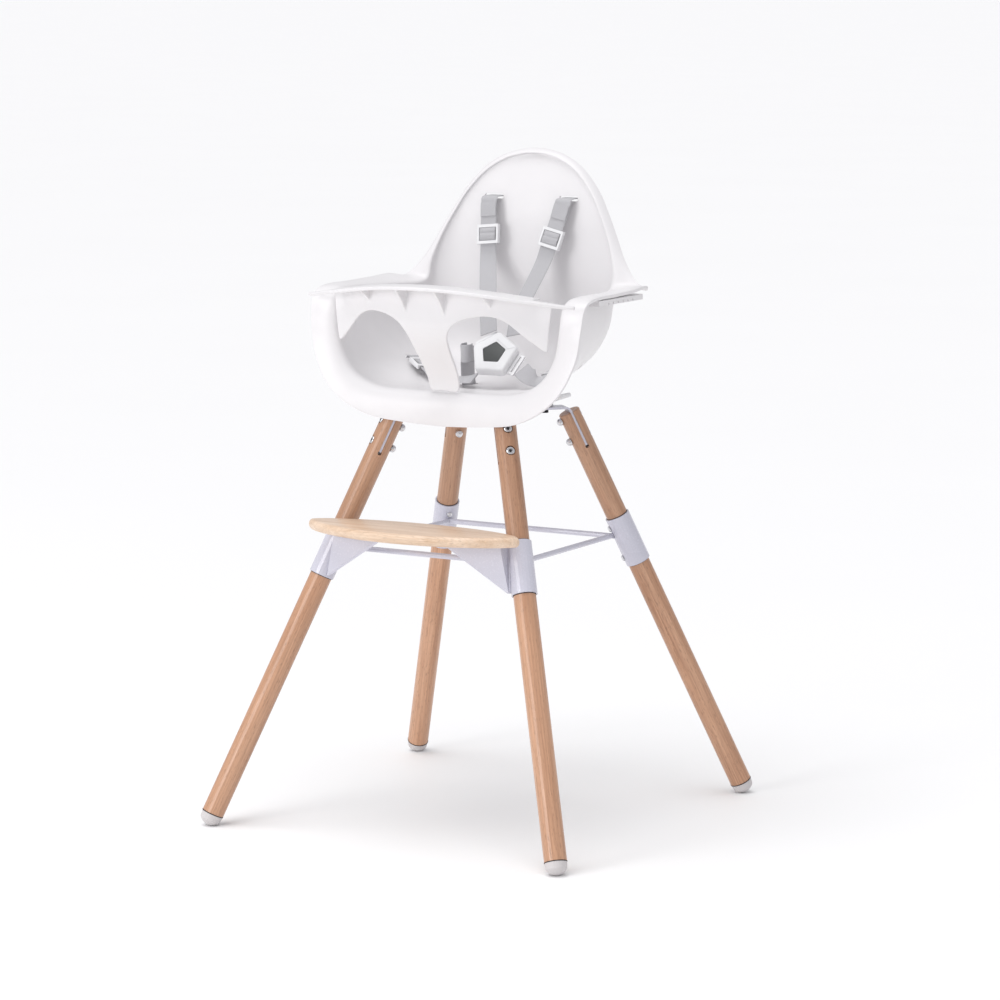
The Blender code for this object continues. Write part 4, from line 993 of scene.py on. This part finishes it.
def put_light(name, data, at, target):
    light = bpy.data.objects.new(name, data)
    light.location = at
    light.rotation_euler = (Vector(target) - Vector(at)).to_track_quat("-Z", "Y").to_euler()
    bpy.context.scene.collection.objects.link(light)


def make_camera():
    data = bpy.data.cameras.new("camera")
    data.lens = LENS
    data.sensor_width = SENSOR
    data.clip_end = CLIP_END
    camera = bpy.data.objects.new("camera", data)
    camera.location = CAMERA_AT
    camera.rotation_euler = (math.radians(90 - CAMERA_PITCH), 0, math.radians(CAMERA_TURN))
    bpy.context.scene.collection.objects.link(camera)
    bpy.context.scene.camera = camera
    bpy.context.scene.view_settings.view_transform = "Standard"


def leg_turn(corner):
    """Euler angles that bring a leg's direction to Z."""
    axis = Vector((-corner[0] * LEG_LEAN, -corner[1] * LEG_LEAN, 1)).normalized()
    return axis.rotation_difference(Vector((0, 0, 1))).to_euler()


def dress_nodes(looks):
    """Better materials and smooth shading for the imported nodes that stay."""
    for node in NODES.values():
        node.data.shade_smooth()
        node.data.set_sharp_from_angle(angle=math.radians(35))
    for entry in RECORD["subparts"]:
        name, slot = entry["node"], entry["material_slot"]
        if name.startswith(("upper_leg", "lower_leg")):
            corner_name = name.split("_leg_")[1]
            shift = (0.31 * len(name), 0.17 * sum(map(ord, corner_name)) % 1.0, 0.4)
            tone = UPPER_SHADE if name.startswith("upper") else 1.0
            tone = PALE_SHADE if name == PALE_LEG else tone
            look = wood("beech_" + name, shade(BEECH_PALE, tone), shade(BEECH_DARK, tone),
                        leg_turn(CORNERS[corner_name]), shift)
        else:
            look = looks[slot]
        node = NODES[name]
        node.data.materials.clear()
        node.data.materials.append(look)


def leg_point(corner, z):
    reach = FOOT_HALF - LEG_LEAN * z
    return Vector((corner[0] * reach, corner[1] * reach, z))


def leg_frame(corner, z):
    """Z up the leg and X outwards across it, from the axis point at that height."""
    up = (leg_point(corner, 1) - leg_point(corner, 0)).normalized()
    out = Vector((corner[0], corner[1], 0)).normalized()
    out = (out - up * out.dot(up)).normalized()
    turn = Matrix((out, up.cross(out), up)).transposed().to_4x4()
    return Matrix.Translation(leg_point(corner, z)) @ turn


def ring_mesh(name, inner, outer, height, steps=64):
    shape = bmesh.new()
    corners = ((inner, 0), (outer, 0), (outer, height), (inner, height))
    loops = []
    for k in range(steps):
        angle = 2 * math.pi * k / steps
        loops.append([shape.verts.new((r * math.cos(angle), r * math.sin(angle), z)) for r, z in corners])
    for k, loop in enumerate(loops):
        other = loops[(k + 1) % steps]
        for j in range(4):
            shape.faces.new((loop[j], loop[(j + 1) % 4], other[(j + 1) % 4], other[j]))
    bmesh.ops.recalc_face_normals(shape, faces=shape.faces)
    return from_bmesh(name, shape)


def make_painted_shadow_rings(material):
    """A thin dark ring at both ends of each steel sleeve and above each foot: painted shadow in the gap at
    each joint.
    """
    inwards, outwards, height = PAINTED_SHADOW_RING
    for name, corner in CORNERS.items():
        for place, z in PAINTED_SHADOW_RING_Z.items():
            mesh = ring_mesh("painted_shadow_ring", LEG_RADIUS - inwards, LEG_RADIUS + outwards, height)
            painted_shadow_ring = put(f"liner_{place}_{name}", mesh, material, leg_frame(corner, z))
            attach(painted_shadow_ring, "chair")


def make_socket_shade(material):
    """A dark hexagon at the bottom of the socket in each leg bolt: painted shade in the recess."""
    radius, thickness = SOCKET_SHADE
    for name, corner in CORNERS.items():
        for depth in BOLT_DEPTHS:
            shape = bmesh.new()
            bmesh.ops.create_cone(shape, cap_ends=True, segments=6, radius1=radius, radius2=radius,
                                  depth=thickness)
            lift = LEG_RADIUS - BOLT_SINK
            place = (leg_frame(corner, LEG_TOP_Z) @ Matrix.Translation((0, 0, -depth))
                     @ Matrix.Rotation(math.pi / 2, 4, "Y") @ Matrix.Translation((0, 0, lift)))
            socket = put(f"socket_{name}", from_bmesh("socket", shape), material, place)
            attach(socket, "chair")


def make_catches(material):
    """The short hooked rib on each side of the rim that the bumper clips behind."""
    for name, side in SIDES.items():
        points = [Vector((side * x, y, z)) for x, y, z in CATCH]
        rows = [(point, Vector((0, 1, 0)), Vector((side, 0, 0)), 0.0) for point in smooth(points, 8)]
        rib = put("catch_" + name, band_mesh("catch", rows, CATCH_WIDTH), material, sharp=50)
        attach(rib, "chair")


def board_ring(inset, z):
    """The board's outline at a height, drawn in by an inset. Its tips stay rounded."""
    front, back = [], []
    for k in range(BOARD_STEPS + 1):
        share = -math.cos(math.pi * k / BOARD_STEPS)
        middle = BOARD_MID_Y + BOARD_SWEEP * share * share
        half = BOARD_HALF_DEPTH * max(1 - share * share, 0) ** 0.7
        half *= 1 - inset / BOARD_HALF_DEPTH
        x = (BOARD_HALF - inset) * share
        front.append(Vector((x, middle - half, z)))
        back.append(Vector((x, middle + half, z)))
    return front + back[-2:0:-1]


def make_board(material):
    """The footrest: a boat-shaped board with a fully rounded edge."""
    half = BOARD_THICK / 2
    rings = []
    for k in range(BOARD_ROWS + 1):
        angle = math.pi * k / BOARD_ROWS
        z = BOARD_TOP_Z - half - half * math.cos(angle)
        rings.append(board_ring(BOARD_ROUND * (1 - math.sin(angle)), z))
    shape = bmesh.new()
    verts = [[shape.verts.new(point) for point in ring] for ring in rings]
    count = len(verts[0])
    for low, high in zip(verts, verts[1:]):
        for k in range(count):
            shape.faces.new((low[k], low[(k + 1) % count], high[(k + 1) % count], high[k]))
    shape.faces.new(list(reversed(verts[0])))
    shape.faces.new(verts[-1])
    bmesh.ops.recalc_face_normals(shape, faces=shape.faces)
    board = put("footrest_plank", from_bmesh("board", shape), material, sharp=60)
    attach(board, "chair")
    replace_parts(board, "footrest_board")


looks = {
    "shell_white": moulded("polypropylene_white", (0.79, 0.775, 0.785), 0.36, 0.00002, 0.04),
    "clip_white": moulded("acetal_white", (0.80, 0.80, 0.81), 0.36, 0.00002),
    "foot_white": moulded("foot_plastic", (0.62, 0.59, 0.59), 0.45),
    "button_grey": moulded("button_plastic", (0.060, 0.064, 0.064), 0.42, 0.00004),
    "steel_white": coated_steel("steel_coated", (0.60, 0.595, 0.68)),
    "zinc": plated("zinc_plate", (0.72, 0.72, 0.74), 0.24),
    # Black for rubber parts, and also for the painted shadow rings at the leg joints and the painted shade in
    # the bolt sockets
    "rubber": moulded("black_rubber_and_painted_shade", (0.035, 0.030, 0.030), 0.6, 0.00005),
    "black_steel": plated("black_oxide", (0.03, 0.03, 0.035), 0.38),
    "wood_light": wood("beech_board", (0.79, 0.61, 0.465), (0.62, 0.42, 0.27),
                       (0, math.radians(90), 0), (0.2, 0.1, 0.0), 0.3),
    "webbing": woven("polyester_webbing", (0.52, 0.515, 0.535)),
}
dress_nodes(looks)
make_shell(looks["shell_white"])
make_bumper(looks["shell_white"])
make_harness(looks)
make_board(looks["wood_light"])
# Painted shadow rings in the gaps at the leg joints
make_painted_shadow_rings(looks["rubber"])
# Painted shade in the bolt sockets
make_socket_shade(looks["rubber"])
make_catches(looks["shell_white"])
make_stage()
make_camera()
